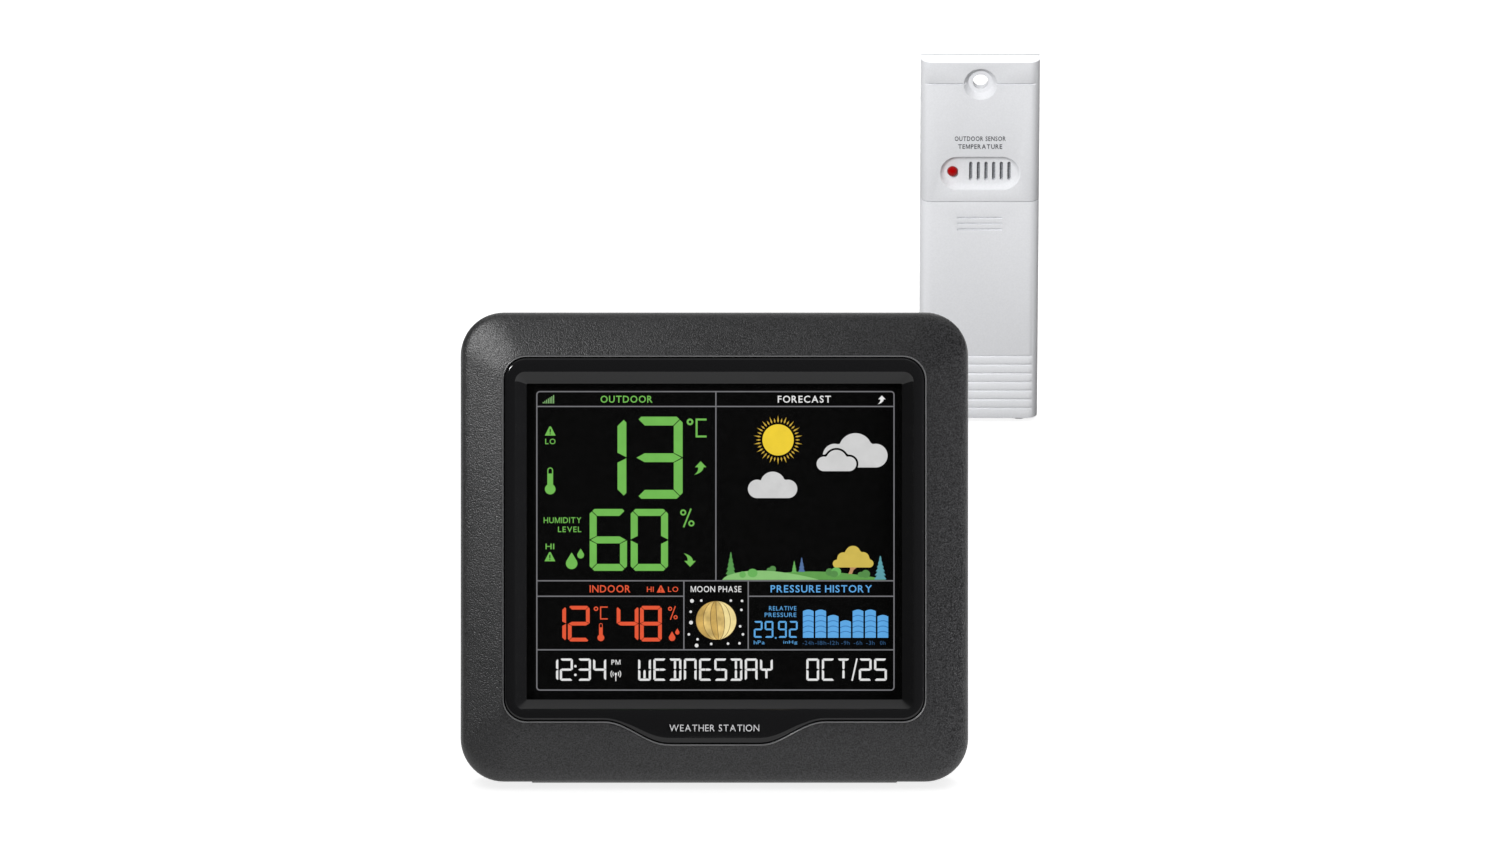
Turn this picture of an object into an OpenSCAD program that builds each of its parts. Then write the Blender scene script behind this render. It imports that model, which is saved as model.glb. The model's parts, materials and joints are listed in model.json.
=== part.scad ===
// Home weather station: a tabletop display console that leans back on a kickstand,
// and the wireless outdoor sensor that belongs to it, standing on the same table.
// Millimetres, +Z up, the table is z = 0, and the display faces -Y.
// The console is drawn upright with its face in the XZ plane, and console_pose() leans it back.

/* [Console] */
// Width of the console
console_w = 164; // [160:1:170]
// Height of the console along its face
console_h = 151.6; // [151:0.2:154]
// Corner radius of the console's outline
console_r = 14; // [12:1:16]
// Lean of the display from the vertical, in degrees
lean = 25; // [23:1:27]
// Depth of the front shell, from the lip of its opening to its rear rim
shell_d = 15; // [15:0.5:16]
// Depth at the back of the rear cover
console_d = 28; // [28:0.5:29]

/* [Display] */
// Width of the visible window
window_w = 121.2; // [119:0.2:122]
// Height of the visible window
window_h = 102; // [100:0.2:103]
// Height of the window's middle above the console's bottom edge
window_z = 77.6; // [77:0.2:78]

/* [Kickstand] */
// Width of the kickstand
stand_w = 56; // [50:1:57]
// Angle between the open kickstand and the back of the console, in degrees
stand_open = 45; // [42:1:48]

/* [Sensor] */
// Width of the outdoor sensor
sensor_w = 40; // [40:0.5:42]
// Depth of the outdoor sensor
sensor_d = 18.5; // [18.5:0.5:20]
// Height of the outdoor sensor above the table
sensor_h = 132.9; // [130:0.1:135]
// Height at which the battery cover meets the upper case
sensor_split = 81.8; // [81:0.2:83]
// Place of the sensor's middle to the right of the console's middle
sensor_x = 89; // [85:1:110]
// Place of the sensor's front face behind the console's foot
sensor_y = 274.5; // [200:0.5:300]

/* [Hidden] */
$fn = 40;

// Heights of the opening in the front shell, above the console's bottom edge.
opening_w = 136;
opening_z0 = 19.6;
opening_z1 = 137.2;
opening_r = 7.4;
// The tongue under the opening: its drop, and its half widths at its flat bottom and its top.
tongue_drop = 7.4;
tongue_flat = 14.7;
tongue_top = 35.6;

// The foot: the shell's bottom edge is cut level with the table, and a rubber strip lies under it.
foot_t = 0.8;
facet_y = 10;
facet_len = (shell_d - facet_y) / cos(lean);
lift = foot_t + facet_y * sin(lean);
foot_y = facet_y * cos(lean) + facet_len / 2;
foot_w = 118;

// Depths of the pieces behind the window.
window_y = 3.7;
window_t = 1.8;
lcd_y = 6;
lcd_t = 2.7;
guide_y = 9.2;
guide_t = 2.9;
carrier_y = 5.8;
carrier_back = 13.2;
board_y = 14.6;
board_t = 1.6;

// Places of the posts that the main board is screwed to.
post_x = 52;
post_zs = [24, 75];
wall = 2;

// The kickstand's pivot and the pocket that it folds into.
pivot_y = console_d - 3.2;
pivot_z = 70;
pin_r = 1.8;
pocket_w = stand_w + 3;
pocket_floor = pivot_y - 3.5;
stand_t = 3.6;
pivot_height = lift + pivot_z * cos(lean) - pivot_y * sin(lean);
stand_len = pivot_height / cos(stand_open - lean);

// The bay for three AAA cells, lying across the console.
cell_r = 5.25;
cell_len = 44.5;
cell_pitch = 11.6;
bay_z = 102.6;
bay_w = 53.2;
bay_h = 36;
bay_floor = 15.6;
cell_y = bay_floor + cell_r + 0.25;
door_w = 56;
door_h = 39;
door_t = 1.6;
door_y = console_d - door_t;
door_edge_r = door_t / 2;
door_pin_r = 0.6;

// The column of buttons on the back, and their travel.
button_x = -50;
button_z0 = 54;
button_pitch = 14;
button_w = 10;
button_h = 7;
button_out = 0.9;
button_travel = 0.6;
button_board_y = 20.8;
side_board_t = 1.2;
receiver_y = 17.5;

// The power board on the other side: its jack, and the slide switch of the backlight.
power_x = 50;
power_board_y = 19.8;
jack_z = 60;
jack_r = 4.8;
switch_z = 108;
knob_travel = 2;

// Places of the shell's screws, and the keyhole that the console hangs on.
screw_x = 73.4;
screw_zs = [13, 76, 139];
keyhole_z = 129;
keyhole_r = 4;
keyhole_slot_r = 2;
keyhole_rise = 6;

// The outdoor sensor.
skin = 1.6;
sensor_foot = 1.2;
sensor_seam_y = 6.5;
sensor_side_y = 9;
hang_z = 124.9;
hang_r = 2.6;
hang_web_y = 3.8;
hang_pocket_z = 114.2;
vent_z = 92.2;
led_x = -9.2;
led_y = 1.6;
led_r = 1.75;
aa_r = 7.25;
aa_len = 50.5;
aa_x = 7.6;
aa_y = skin + 0.4 + aa_r;
tray_z0 = 6.4;
tray_z1 = 66;
contact_t = 0.5;
spring_len = tray_z1 - tray_z0 - 2 * contact_t - aa_len;
sensor_boss_x = 15.6;
sensor_boss_zs = [90, 112.5];
test_z = 75;
sensor_board_y = 9;
sensor_board_t = 1.2;

// Wires are tubes with this many sides.
tube_sides = 6;

// ---------- points and shapes that repeat ----------

// Points of an arc, from angle a0 to a1.
function arc(cx, cz, r, a0, a1, n = 8) =
  [for (i = [0:n]) let (a = a0 + (a1 - a0) * i / n) [cx + r * cos(a), cz + r * sin(a)]];

// A rounded rectangle that spans x0..x1 and z0..z1.
function rounded(x0, x1, z0, z1, r) = concat(
  arc(x1 - r, z1 - r, r, 0, 90), arc(x0 + r, z1 - r, r, 90, 180),
  arc(x0 + r, z0 + r, r, 180, 270), arc(x1 - r, z0 + r, r, 270, 360));

// A stadium of length w and height h about x, z.
function stadium(x, z, w, h) = concat(
  arc(x + (w - h) / 2, z, h / 2, -90, 90, 12), arc(x - (w - h) / 2, z, h / 2, 90, 270, 12));

// The opening in the front shell, grown by g, with the tongue in the middle of its lower edge.
function opening(g) = let (
    x1 = opening_w / 2 + g, z0 = opening_z0 - g, z1 = opening_z1 + g, r = opening_r + g,
    flat = tongue_flat + g / 2, run = tongue_top + g / 2 - flat,
    swoop = [for (i = [0:12]) [flat + run * i / 12, z0 - tongue_drop * (1 + cos(180 * i / 12)) / 2]])
  concat(arc(x1 - r, z1 - r, r, 0, 90), arc(r - x1, z1 - r, r, 90, 180),
    arc(r - x1, z0 + r, r, 180, 270),
    [for (i = [12:-1:0]) [-swoop[i][0], swoop[i][1]]], swoop,
    arc(x1 - r, z0 + r, r, 270, 360));

// A slab between the depths y0 and y1, with the outline given in x and z.
module slab(points, y0, y1) {
  translate([0, y1, 0]) rotate([90, 0, 0]) linear_extrude(y1 - y0) polygon(points);
}

// A box by its low and high corners.
module block(low, high) {
  translate(low) cube(high - low);
}

// A round bar along the depth, from y0 to y1.
module bar_y(x, z, r, y0, y1) {
  translate([x, y1, z]) rotate([90, 0, 0]) cylinder(r = r, h = y1 - y0);
}

// A round bar along the width.
module bar_x(x0, x1, y, z, r) {
  translate([x0, y, z]) rotate([0, 90, 0]) cylinder(r = r, h = x1 - x0);
}

// A round bar that stands up.
module bar_z(x, y, r, z0, z1) {
  translate([x, y, z0]) cylinder(r = r, h = z1 - z0);
}

// A tube of radius r through the points of a path.
module tube(path, r) {
  n = len(path);
  dirs = [for (i = [0:n - 1])
    let (d = path[min(i + 1, n - 1)] - path[max(i - 1, 0)]) d / norm(d)];
  rings = [for (i = [0:n - 1])
    let (up = abs(dirs[i][2]) > 0.9 ? [0, 1, 0] : [0, 0, 1],
      s0 = cross(dirs[i], up), s = s0 / norm(s0), t = cross(s, dirs[i]))
      for (k = [0:tube_sides - 1])
        let (a = 360 * k / tube_sides) path[i] + r * (cos(a) * s + sin(a) * t)];
  sides = [for (i = [0:n - 2], k = [0:tube_sides - 1]) let (j = (k + 1) % tube_sides)
    [i * tube_sides + k, i * tube_sides + j, (i + 1) * tube_sides + j, (i + 1) * tube_sides + k]];
  polyhedron(rings, concat(sides, [[for (k = [tube_sides - 1:-1:0]) k]],
    [[for (k = [0:tube_sides - 1]) (n - 1) * tube_sides + k]]), convexity = 6);
}

// A conical coil that rises along +Z from the origin, widest at its foot.
function coil(r0, r1, h, turns, per = 12) =
  [for (i = [0:turns * per]) let (t = i / (turns * per), a = 360 * turns * t, r = r0 + (r1 - r0) * t)
    [r * cos(a), r * sin(a), h * t]];

// Sets the upright console on the table, leaning back.
module console_pose() {
  translate([0, -foot_y, lift]) rotate([-lean, 0, 0]) children();
}

// The space below a height over the table, as seen from inside console_pose().
module below(height) {
  rotate([lean, 0, 0]) translate([-150, foot_y - 200, height - lift - 60]) cube([300, 400, 60]);
}

// Sets the sensor down behind the console.
module sensor_pose() {
  translate([sensor_x, sensor_y, 0]) children();
}

// ---------- console: front ----------

// The convex outside of the console's front, from the lip of the opening to the rear rim.
module front_envelope() {
  hull() {
    for (ring = [[0, 0, 6.6], [0.5, 1, 5.7], [1.7, 2, 5]])
      slab(rounded(ring[0] - console_w / 2, console_w / 2 - ring[0], ring[0],
        console_h - ring[0], console_r - ring[0]), ring[2], ring[1] == 0 ? shell_d : ring[2] + 0.01);
    slab(rounded(-74.6, 74.6, 10.3, console_h - 7.3, 11), 2, 2.01);
    slab(rounded(-68.6, 68.6, opening_z0 - 0.6, opening_z1 + 0.6, 8), 0, 0.01);
  }
}

module front_frame() color([0.2, 0.2, 0.21]) console_pose() {
  difference() {
    front_envelope();
    slab(opening(0), -1, 6);
    hull() {
      slab(rounded(2.2 - console_w / 2, console_w / 2 - 2.2, 5, console_h - 2.2, 11.8), 7.6, shell_d + 1);
      slab(rounded(-71, 71, 11, opening_z1 + 3, 9), 2.6, 2.61);
    }
    below(foot_t);
  }
  for (side = [-1, 1], z = screw_zs)
    difference() {
      bar_y(side * screw_x, z, 3, 5.6, 12);
      bar_y(side * screw_x, z, 1.5, 7, 13);
    }
}

module gloss_bezel() color([0.02, 0.02, 0.02]) console_pose() {
  difference() {
    intersection() {
      slab(opening(-0.3), -2, 4.4);
      translate([0, -0.5, 0]) front_envelope();
    }
    hull() {
      slab(rounded(-64.3, 64.3, 23.3, 132.4, 3.2), -1, -0.3);
      slab(window_outline(0, 0.4), 2.4, 5);
    }
    slab(window_outline(2.2, 1), window_y - 0.1, 5);
  }
  difference() {
    slab(rounded(-70.4, 70.4, 17.4, opening_z1 + 1.8, 8), 2.8, 4.4);
    slab(opening(-0.5), 2, 5);
  }
}

// The window's outline, grown by g on every side.
function window_outline(g, r) = rounded(-window_w / 2 - g, window_w / 2 + g,
  window_z - window_h / 2 - g, window_z + window_h / 2 + g, r);

module display_window() color([0.1, 0.1, 0.1, 0.5]) console_pose()
  slab(window_outline(2, 1), window_y, window_y + window_t);

module lcd_panel() color([0.02, 0.02, 0.03]) console_pose()
  slab(window_outline(0.8, 0.4), lcd_y, lcd_y + lcd_t);

module diffuser_film() color([0.9, 0.9, 0.92]) console_pose()
  slab(window_outline(-2, 0.4), 8.8, 9.1);

module light_guide() color([0.85, 0.9, 0.95]) console_pose()
  slab(window_outline(-2.4, 0.4), guide_y, guide_y + guide_t);

// The lamps lie under the light guide's lower edge.
strip_z = window_z - window_h / 2 - 0.1;

module backlight_strip() color([0.9, 0.9, 0.85]) console_pose()
  block([-52, guide_y, strip_z], [52, guide_y + 2.6, strip_z + 0.8]);

module backlight_leds() color([1, 0.95, 0.7]) console_pose()
  for (i = [-4:4])
    block([i * 11.4 - 1.5, guide_y + 0.5, strip_z + 0.8], [i * 11.4 + 1.5, guide_y + 2.1, strip_z + 1.9]);

module lcd_carrier() color([0.93, 0.93, 0.92]) console_pose()
  difference() {
    slab(window_outline(2.3, 1), carrier_y, carrier_back);
    slab(window_outline(1, 0.5), carrier_y - 1, carrier_back - 1);
    block([-22, lcd_y, 20], [22, lcd_y + 2, window_z - 40]);
  }

// A flat flexible lead from the glass, under the carrier and up to the board.
module lcd_ribbon() color([0.75, 0.5, 0.15]) console_pose() {
  low = window_z - window_h / 2;
  translate([-20, 0, 0]) rotate([90, 0, 90]) linear_extrude(40)
    polygon([[7, low - 0.9], [7, low - 3.4], [14, low - 6.2], [14.5, low - 6.2],
      [14.5, low - 0.2], [14.1, low - 0.2], [14.1, low - 5.6], [7.4, low - 3], [7.4, low - 0.9]]);
}

module main_board() color([0.05, 0.35, 0.16]) console_pose()
  difference() {
    slab(rounded(-56, 56, 20, 79, 2), board_y, board_y + board_t);
    for (x = [-post_x, post_x], z = post_zs) bar_y(x, z, 1.3, board_y - 1, board_y + 3);
  }

module processor_chip() color([0.05, 0.05, 0.05]) console_pose() {
  top = board_y + board_t;
  slab(rounded(-9, 9, 44, 62, 1), top, top + 1.5);
  slab(rounded(12, 20, 30, 36, 0.5), top, top + 1.2);
  slab(rounded(-24, -16, 30, 38, 0.5), top, top + 1.2);
}

module board_capacitors() color([0.15, 0.2, 0.5]) console_pose() {
  top = board_y + board_t;
  for (at = [[36, 66], [-34, 66], [-34, 56]]) bar_y(at[0], at[1], 2.4, top, top + 3.6);
  for (i = [0:5]) block([-26 + 10 * i, top, 24], [-24 + 10 * i, top + 0.8, 25.2]);
}

module clock_crystal() color([0.75, 0.75, 0.78]) console_pose()
  slab(stadium(20, 54, 11, 4.4), board_y + board_t, board_y + board_t + 2.8);

module piezo_buzzer() color([0.06, 0.06, 0.06]) console_pose() {
  top = board_y + board_t;
  difference() {
    bar_y(45, 38, 8.5, top, top + 4.4);
    bar_y(45, 38, 1.2, top + 3, top + 5);
  }
}

module room_sensor() color([0.9, 0.9, 0.88]) console_pose() {
  top = board_y + board_t;
  difference() {
    slab(rounded(-50.5, -41.5, 28, 40, 0.8), top, top + 3.4);
    for (i = [0:3]) block([-49, top + 2.4, 29.6 + 2.6 * i], [-43, top + 4, 30.8 + 2.6 * i]);
  }
}

module receiver_module() color([0.1, 0.2, 0.5]) console_pose() {
  top = receiver_y + side_board_t;
  slab(rounded(33, 45, 112, 134, 0.6), receiver_y, top);
  slab(rounded(35, 43, 115.4, 123, 0.5), top, top + 1.6);
  bar_y(38.6, 128.6, 2.2, top, top + 2.8);
}

// A wire that runs along the top of the case, inside the rear cover.
module receiver_antenna() color([0.1, 0.1, 0.1]) console_pose()
  tube([[36, 18.1, 134.2], [35, 18.1, 136], [30, 18.4, 137.5], [20, 18.6, 138], [-20, 18.6, 138],
    [-44, 18.6, 137.5], [-52, 18.6, 135], [-56, 18.6, 130], [-57, 18.6, 110]], 0.6);

module button_board() color([0.05, 0.35, 0.16]) console_pose()
  difference() {
    slab(rounded(button_x - 7, button_x + 7, 46.5, 131.5, 1), button_board_y, button_board_y + side_board_t);
    bar_y(-post_x, post_zs[1], 3, button_board_y - 1, button_board_y + 3);
  }

module button_switches() color([0.12, 0.12, 0.12]) console_pose()
  for (i = [0:5]) {
    z = button_z0 + button_pitch * i;
    y = button_board_y + 1.2;
    slab(rounded(button_x - 3, button_x + 3, z - 3, z + 3, 0.4), y, y + 1.8);
    bar_y(button_x, z, 1.6, y + 1.8, y + 2.4);
  }

module power_board() color([0.05, 0.35, 0.16]) console_pose()
  difference() {
    slab(rounded(power_x - 7.8, power_x + 8, 50, 114.6, 1), power_board_y, power_board_y + side_board_t);
    bar_y(post_x, post_zs[1], 3, power_board_y - 1, power_board_y + 3);
  }

// The inlet of the mains adapter: a round socket with a centre pin.
module power_jack() color([0.05, 0.05, 0.05]) console_pose() {
  base = power_board_y + 1.2;
  difference() {
    bar_y(power_x, jack_z, jack_r, base, console_d - 1.2);
    bar_y(power_x, jack_z, 2.9, base + 1, console_d);
  }
  bar_y(power_x, jack_z, 1, base, console_d - 1.6);
}

module backlight_switch_body() color([0.7, 0.7, 0.72]) console_pose() {
  base = power_board_y + 1.2;
  difference() {
    slab(rounded(power_x - 4, power_x + 4, switch_z - 6, switch_z + 6, 0.4), base, base + 3.6);
    block([power_x - 1.9, base + 1.2, switch_z - 4.2], [power_x + 1.9, base + 5, switch_z + 4.2]);
  }
}

// ---------- console: back ----------

// The hump of the rear cover, pulled in by g on every side.
module hump(g) {
  hull() {
    slab(rounded(-67.5 + g, 67.5 - g, 8.5 + g, 144 - g, 12 - g), 12 + g / 4, shell_d + 0.5);
    slab(rounded(-65 + g, 65 - g, 14.4 + g, 141 - g, 12 - g), console_d - 2.4 - g, console_d - 2.39 - g);
    slab(rounded(-63.4 + g, 63.4 - g, 16 + g, 139.4 - g, 11 - g), console_d - 0.01 - g, console_d - g);
  }
}

// The space between the walls of the battery bay, from its floor to the back of the cover.
module bay_space(grow, y0, y1) {
  slab(rounded(-bay_w / 2 - grow, bay_w / 2 + grow, bay_z - bay_h / 2 - grow,
    bay_z + bay_h / 2 + grow, 1), y0, y1);
}

// The pocket that the kickstand folds into, open at its lower end.
module stand_pocket(grow, y0) {
  block([-pocket_w / 2 - grow, y0, 2], [pocket_w / 2 + grow, console_d + 1, pivot_z + 5.5 + grow]);
}

module rear_cover() color([0.16, 0.16, 0.17]) console_pose()
  difference() {
    union() {
      difference() {
        union() {
          hump(0);
          slab(rounded(2.6 - console_w / 2, console_w / 2 - 2.6, 5.4, console_h - 2.6, 11.4), 12, shell_d);
        }
        difference() {
          hump(wall);
          stand_pocket(wall, pocket_floor - wall);
        }
        block([-63.6, 11, 14], [63.6, shell_d - 1.2, 138]);
      }
      intersection() {
        hump(0);
        union() {
          bay_space(1.2, bay_floor - 1.2, console_d - door_t);
          bay_space(4, door_y - 1.8, console_d);
          bar_y(0, keyhole_z, keyhole_r + 2.2, console_d - 7, console_d);
        }
      }
      for (z = post_zs, x = [-post_x, post_x])
        bar_y(x, z, 2.6, board_y + board_t, console_d - 1);
      side_board_posts();
    }
    for (x = [-post_x, post_x], z = post_zs) bar_y(x, z, 1.15, board_y, board_y + 7);
    bay_space(0, bay_floor, console_d + 1);
    slab(rounded(-door_w / 2 - 0.2, door_w / 2 + 0.2, bay_z - door_h / 2 - 0.2,
      bay_z + door_h / 2 + 0.2, 0.3), door_y - 0.2, console_d + 1);
    bar_z(-door_w / 2 + door_edge_r, console_d - door_edge_r, door_pin_r + 0.06,
      bay_z - door_h / 2 - 1.8, bay_z + door_h / 2 + 1.8);
    bar_y(door_w / 2 + 1, bay_z, 5, door_y - 0.2, console_d + 1);
    stand_pocket(0, pocket_floor);
    bar_x(-pocket_w / 2 - 1.7, pocket_w / 2 + 1.7, pivot_y, pivot_z, pin_r + 0.06);
    for (i = [0:5])
      slab(stadium(button_x, button_z0 + button_pitch * i, button_w + 0.5, button_h + 0.5),
        console_d - wall - 1, console_d + 1);
    block([power_x - 2, console_d - wall - 1, switch_z - 4.3], [power_x + 2, console_d + 1, switch_z + 4.3]);
    bar_y(power_x, jack_z, jack_r + 0.2, console_d - wall - 1, console_d + 1);
    for (side = [-1, 1], z = screw_zs) {
      bar_y(side * screw_x, z, 1.7, 11, shell_d + 1);
      bar_y(side * screw_x, z, 3.1, shell_d - 2, shell_d + 4);
    }
    bar_y(0, keyhole_z, keyhole_r, console_d - 5, console_d + 1);
    slab(stadium_up(0, keyhole_z, keyhole_slot_r, keyhole_rise), console_d - wall, console_d + 1);
    slab(stadium_up(0, keyhole_z, keyhole_r, keyhole_rise), console_d - 5, console_d - wall);
    sound_holes();
    room_vents();
  }

// Posts inside the rear cover that the two side boards and the receiver rest on.
module side_board_posts() {
  for (z = [48.2, 129.8]) bar_y(button_x - 5.4, z, 1.3, button_board_y + side_board_t, console_d - 1);
  for (x = [-5.6, 5.6], z = [51.8, 98.4])
    bar_y(power_x + x, z, 1.3, power_board_y + side_board_t, console_d - 1);
  for (at = [[34.4, 132], [43.6, 125.4]]) bar_y(at[0], at[1], 1.2, receiver_y + side_board_t, console_d - 1);
}

// A slot of half width r that rises from z by h.
function stadium_up(x, z, r, h) = concat(arc(x, z + h, r, 0, 180, 12), arc(x, z, r, 180, 360, 12));

module sound_holes() {
  bar_y(45, 38, 0.9, console_d - 4, console_d + 1);
  for (i = [0:5]) bar_y(45 + 3.4 * cos(60 * i), 38 + 3.4 * sin(60 * i), 0.9, console_d - 4, console_d + 1);
  for (i = [0:11]) bar_y(45 + 6.6 * cos(30 * i), 38 + 6.6 * sin(30 * i), 0.9, console_d - 4, console_d + 1);
}

module room_vents() {
  for (i = [0:4])
    slab(stadium(-46, 27 + 4 * i, 15, 1.8), console_d - 4, console_d + 1);
}

module foot_strip() color([0.08, 0.08, 0.08])
  block([-foot_w / 2, -2.2, 0], [foot_w / 2, 2.2, foot_t]);

module console_batteries() color([0.75, 0.2, 0.1]) console_pose()
  for (i = [-1:1]) {
    side = i == 0 ? -1 : 1;
    z = bay_z + i * cell_pitch;
    tip = side * (bay_w / 2 - contact_t);
    bar_x(min(tip, tip - side), max(tip, tip - side), cell_y, z, 1.9);
    bar_x(min(tip - side, tip - side * cell_len), max(tip - side, tip - side * cell_len), cell_y, z, cell_r);
  }

module console_battery_contacts() color([0.8, 0.8, 0.8]) console_pose() {
  for (i = [-1:1], side = [-1, 1])
    block([side * bay_w / 2 - (side + 1) / 2 * contact_t, bay_floor + 0.6, bay_z + i * cell_pitch - 4.2],
      [side * bay_w / 2 + (1 - side) / 2 * contact_t, bay_floor + 10.2, bay_z + i * cell_pitch + 4.2]);
}

module console_battery_springs() color([0.85, 0.85, 0.85]) console_pose()
  for (i = [-1:1]) {
    side = i == 0 ? 1 : -1;
    h = bay_w - 2 * contact_t - cell_len - 0.8;
    translate([side * (bay_w / 2 - contact_t - 0.4), cell_y, bay_z + i * cell_pitch])
      rotate([0, -90 * side, 0]) tube(coil(3.9, 1.8, h, 4), 0.35);
  }

// Pan-head screws with a cross slot, along the depth, with the head's back at y.
module screw(x, z, y, head_r, head_t, shank_r, shank_len) {
  difference() {
    bar_y(x, z, head_r, y - head_t, y);
    for (turn = [0, 90])
      translate([x, y - 0.7, z]) rotate([0, turn, 0])
        translate([-head_r * 0.6, 0, -0.35]) cube([head_r * 1.2, 2, 0.7]);
  }
  bar_y(x, z, shank_r, y - head_t - shank_len, y - head_t);
}

module case_screws() color([0.6, 0.6, 0.62]) console_pose()
  for (side = [-1, 1], z = screw_zs) screw(side * screw_x, z, shell_d - 0.2, 2.8, 1.8, 1.4, 5.4);

// The board is screwed to the rear cover's posts from the display side.
module board_screws() color([0.6, 0.6, 0.62]) console_pose()
  for (x = [-post_x, post_x], z = post_zs) {
    bar_y(x, z, 2, board_y - 1, board_y);
    bar_y(x, z, 1.05, board_y, board_y + 6);
  }

module battery_door() color([0.16, 0.16, 0.17]) console_pose() {
  edge_x = -door_w / 2 + door_edge_r;
  mid_y = console_d - door_edge_r;
  difference() {
    union() {
      slab([[edge_x, bay_z - door_h / 2], [door_w / 2, bay_z - door_h / 2],
        [door_w / 2, bay_z + door_h / 2], [edge_x, bay_z + door_h / 2]], door_y, console_d);
      bar_z(edge_x, mid_y, door_edge_r, bay_z - door_h / 2, bay_z + door_h / 2);
    }
    for (i = [-2:2])
      block([door_w / 2 - 14, console_d - 0.5, bay_z + 2.4 * i - 0.4],
        [door_w / 2 - 4.5, console_d + 1, bay_z + 2.4 * i + 0.4]);
    for (side = [-1, 1])
      block([door_w / 2 - 16, door_y - 1, bay_z + side * 8 - 0.4],
        [door_w / 2 + 1, console_d + 1, bay_z + side * 8 + 0.4]);
  }
  bar_z(edge_x, mid_y, door_pin_r, bay_z - door_h / 2 - 1.5, bay_z + door_h / 2 + 1.5);
}

// Draws the kickstand's parts folded, and swings them open about the pivot.
module stand_pose() {
  translate([0, pivot_y, pivot_z]) rotate([stand_open, 0, 0]) children();
}

module kickstand() color([0.16, 0.16, 0.17]) console_pose() stand_pose() {
  half = stand_w / 2;
  tip = 3 - stand_len;
  difference() {
    union() {
      bar_x(-half, half, 0, 0, 2.9);
      slab([[-half, 2.7], [-half, -8], [-half + 5, tip], [half - 5, tip], [half, -8], [half, 2.7]],
        -stand_t / 2, stand_t / 2);
    }
    slab([[-half + 4, -8], [-half + 8.4, tip + 6], [half - 8.4, tip + 6], [half - 4, -8]], -0.2, 3);
    slab(stadium(0, tip, 20, 6), -3, 3);
  }
  for (x = [-11, 11]) block([x - 0.8, -0.3, tip + 5.5], [x + 0.8, stand_t / 2, -7.5]);
  bar_x(-half - 3, half + 3, 0, 0, pin_r);
}

// A rubber shoe on the kickstand's end, cut level with the table.
module stand_foot() color([0.08, 0.08, 0.08])
  intersection() {
    console_pose() stand_pose() {
      tip = 3 - stand_len;
      for (side = [-1, 1])
        block([side * 16.6 - 5.6, -stand_t / 2, -stand_len - 2], [side * 16.6 + 5.6, stand_t / 2, tip]);
    }
    translate([-100, 0, 0]) cube([200, 200, 60]);
  }

// One button cap of the column, with the collar that keeps it in the cover.
module button(i) {
  z = button_z0 + button_pitch * i;
  inner = button_board_y + 1.2 + 2.4 + button_travel + 0.1;
  color([0.1, 0.1, 0.1]) console_pose() {
    slab(stadium(button_x, z, button_w, button_h), inner + 0.8, console_d + button_out);
    slab(stadium(button_x, z, button_w + 1.6, button_h + 1.6), inner, inner + 0.8);
  }
}

module light_button() button(5);
module set_button() button(4);
module plus_button() button(3);
module minus_button() button(2);
module alert_button() button(1);
module signal_button() button(0);

module backlight_switch_knob() color([0.85, 0.85, 0.85]) console_pose() {
  base = power_board_y + 1.2;
  block([power_x - 1.6, base + 1.3, switch_z - knob_travel - 1.8],
    [power_x + 1.6, base + 3.5, switch_z - knob_travel + 1.8]);
  block([power_x - 1.4, base + 3.5, switch_z - knob_travel - 1.5],
    [power_x + 1.4, console_d + 0.8, switch_z - knob_travel + 1.5]);
}

// ---------- outdoor sensor ----------

// The sensor's section in x and y, rounded more at the front, pulled in by g.
function sensor_section(g) = let (
    x1 = sensor_w / 2 - g, y0 = g, y1 = sensor_d - g, front = 3.6 - g * 0.6, back = 2 - g * 0.6)
  concat(arc(x1 - front, y0 + front, front, -90, 0), arc(x1 - back, y1 - back, back, 0, 90),
    arc(back - x1, y1 - back, back, 90, 180), arc(front - x1, y0 + front, front, 180, 270));

module sensor_prism(g, z0, z1) {
  translate([0, 0, z0]) linear_extrude(z1 - z0) polygon(sensor_section(g));
}

// The space between two depths, as wide as the sensor.
module depths(y0, y1) {
  block([-30, y0, -1], [30, y1, sensor_h + 5]);
}

// The cover drops over the front of the case from its foot to the seam, and carries the two feet.
module sensor_battery_cover() color([0.9, 0.9, 0.92]) sensor_pose() {
  difference() {
    union() {
      difference() {
        intersection() {
          sensor_prism(0, sensor_foot, sensor_split - 0.3);
          depths(-1, sensor_side_y);
        }
        sensor_prism(skin, 0, sensor_split);
      }
      sensor_prism(0, sensor_foot, sensor_foot + skin);
      for (side = [-1, 1])
        block([side * 17.5 - 0.7, 4, sensor_foot + 0.5], [side * 17.5 + 0.7, 12.4, sensor_split - 4]);
      for (side = [-1, 1])
        block([side * 18.45 - 0.45, 10.6, sensor_foot + 0.5], [side * 18.45 + 0.45, 11.8, sensor_split - 5]);
    }
    for (i = [0:6]) groove(4.9 + 3.23 * i, 21, 0.45, 0.8);
    for (i = [-1:1]) groove(sensor_split - 8.3 + 2.15 * i, 7.5, 0.9, 0.8);
  }
  for (side = [-1, 1])
    block([side * 13.8 - 1.3, 2, 0], [side * 13.8 + 1.3, sensor_d - 2, sensor_foot + 0.5]);
}

// A level groove in the sensor's front, of half length w.
module groove(z, w, depth, height) {
  block([-w, -1, z - height / 2], [w, depth, z + height / 2]);
}

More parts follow.
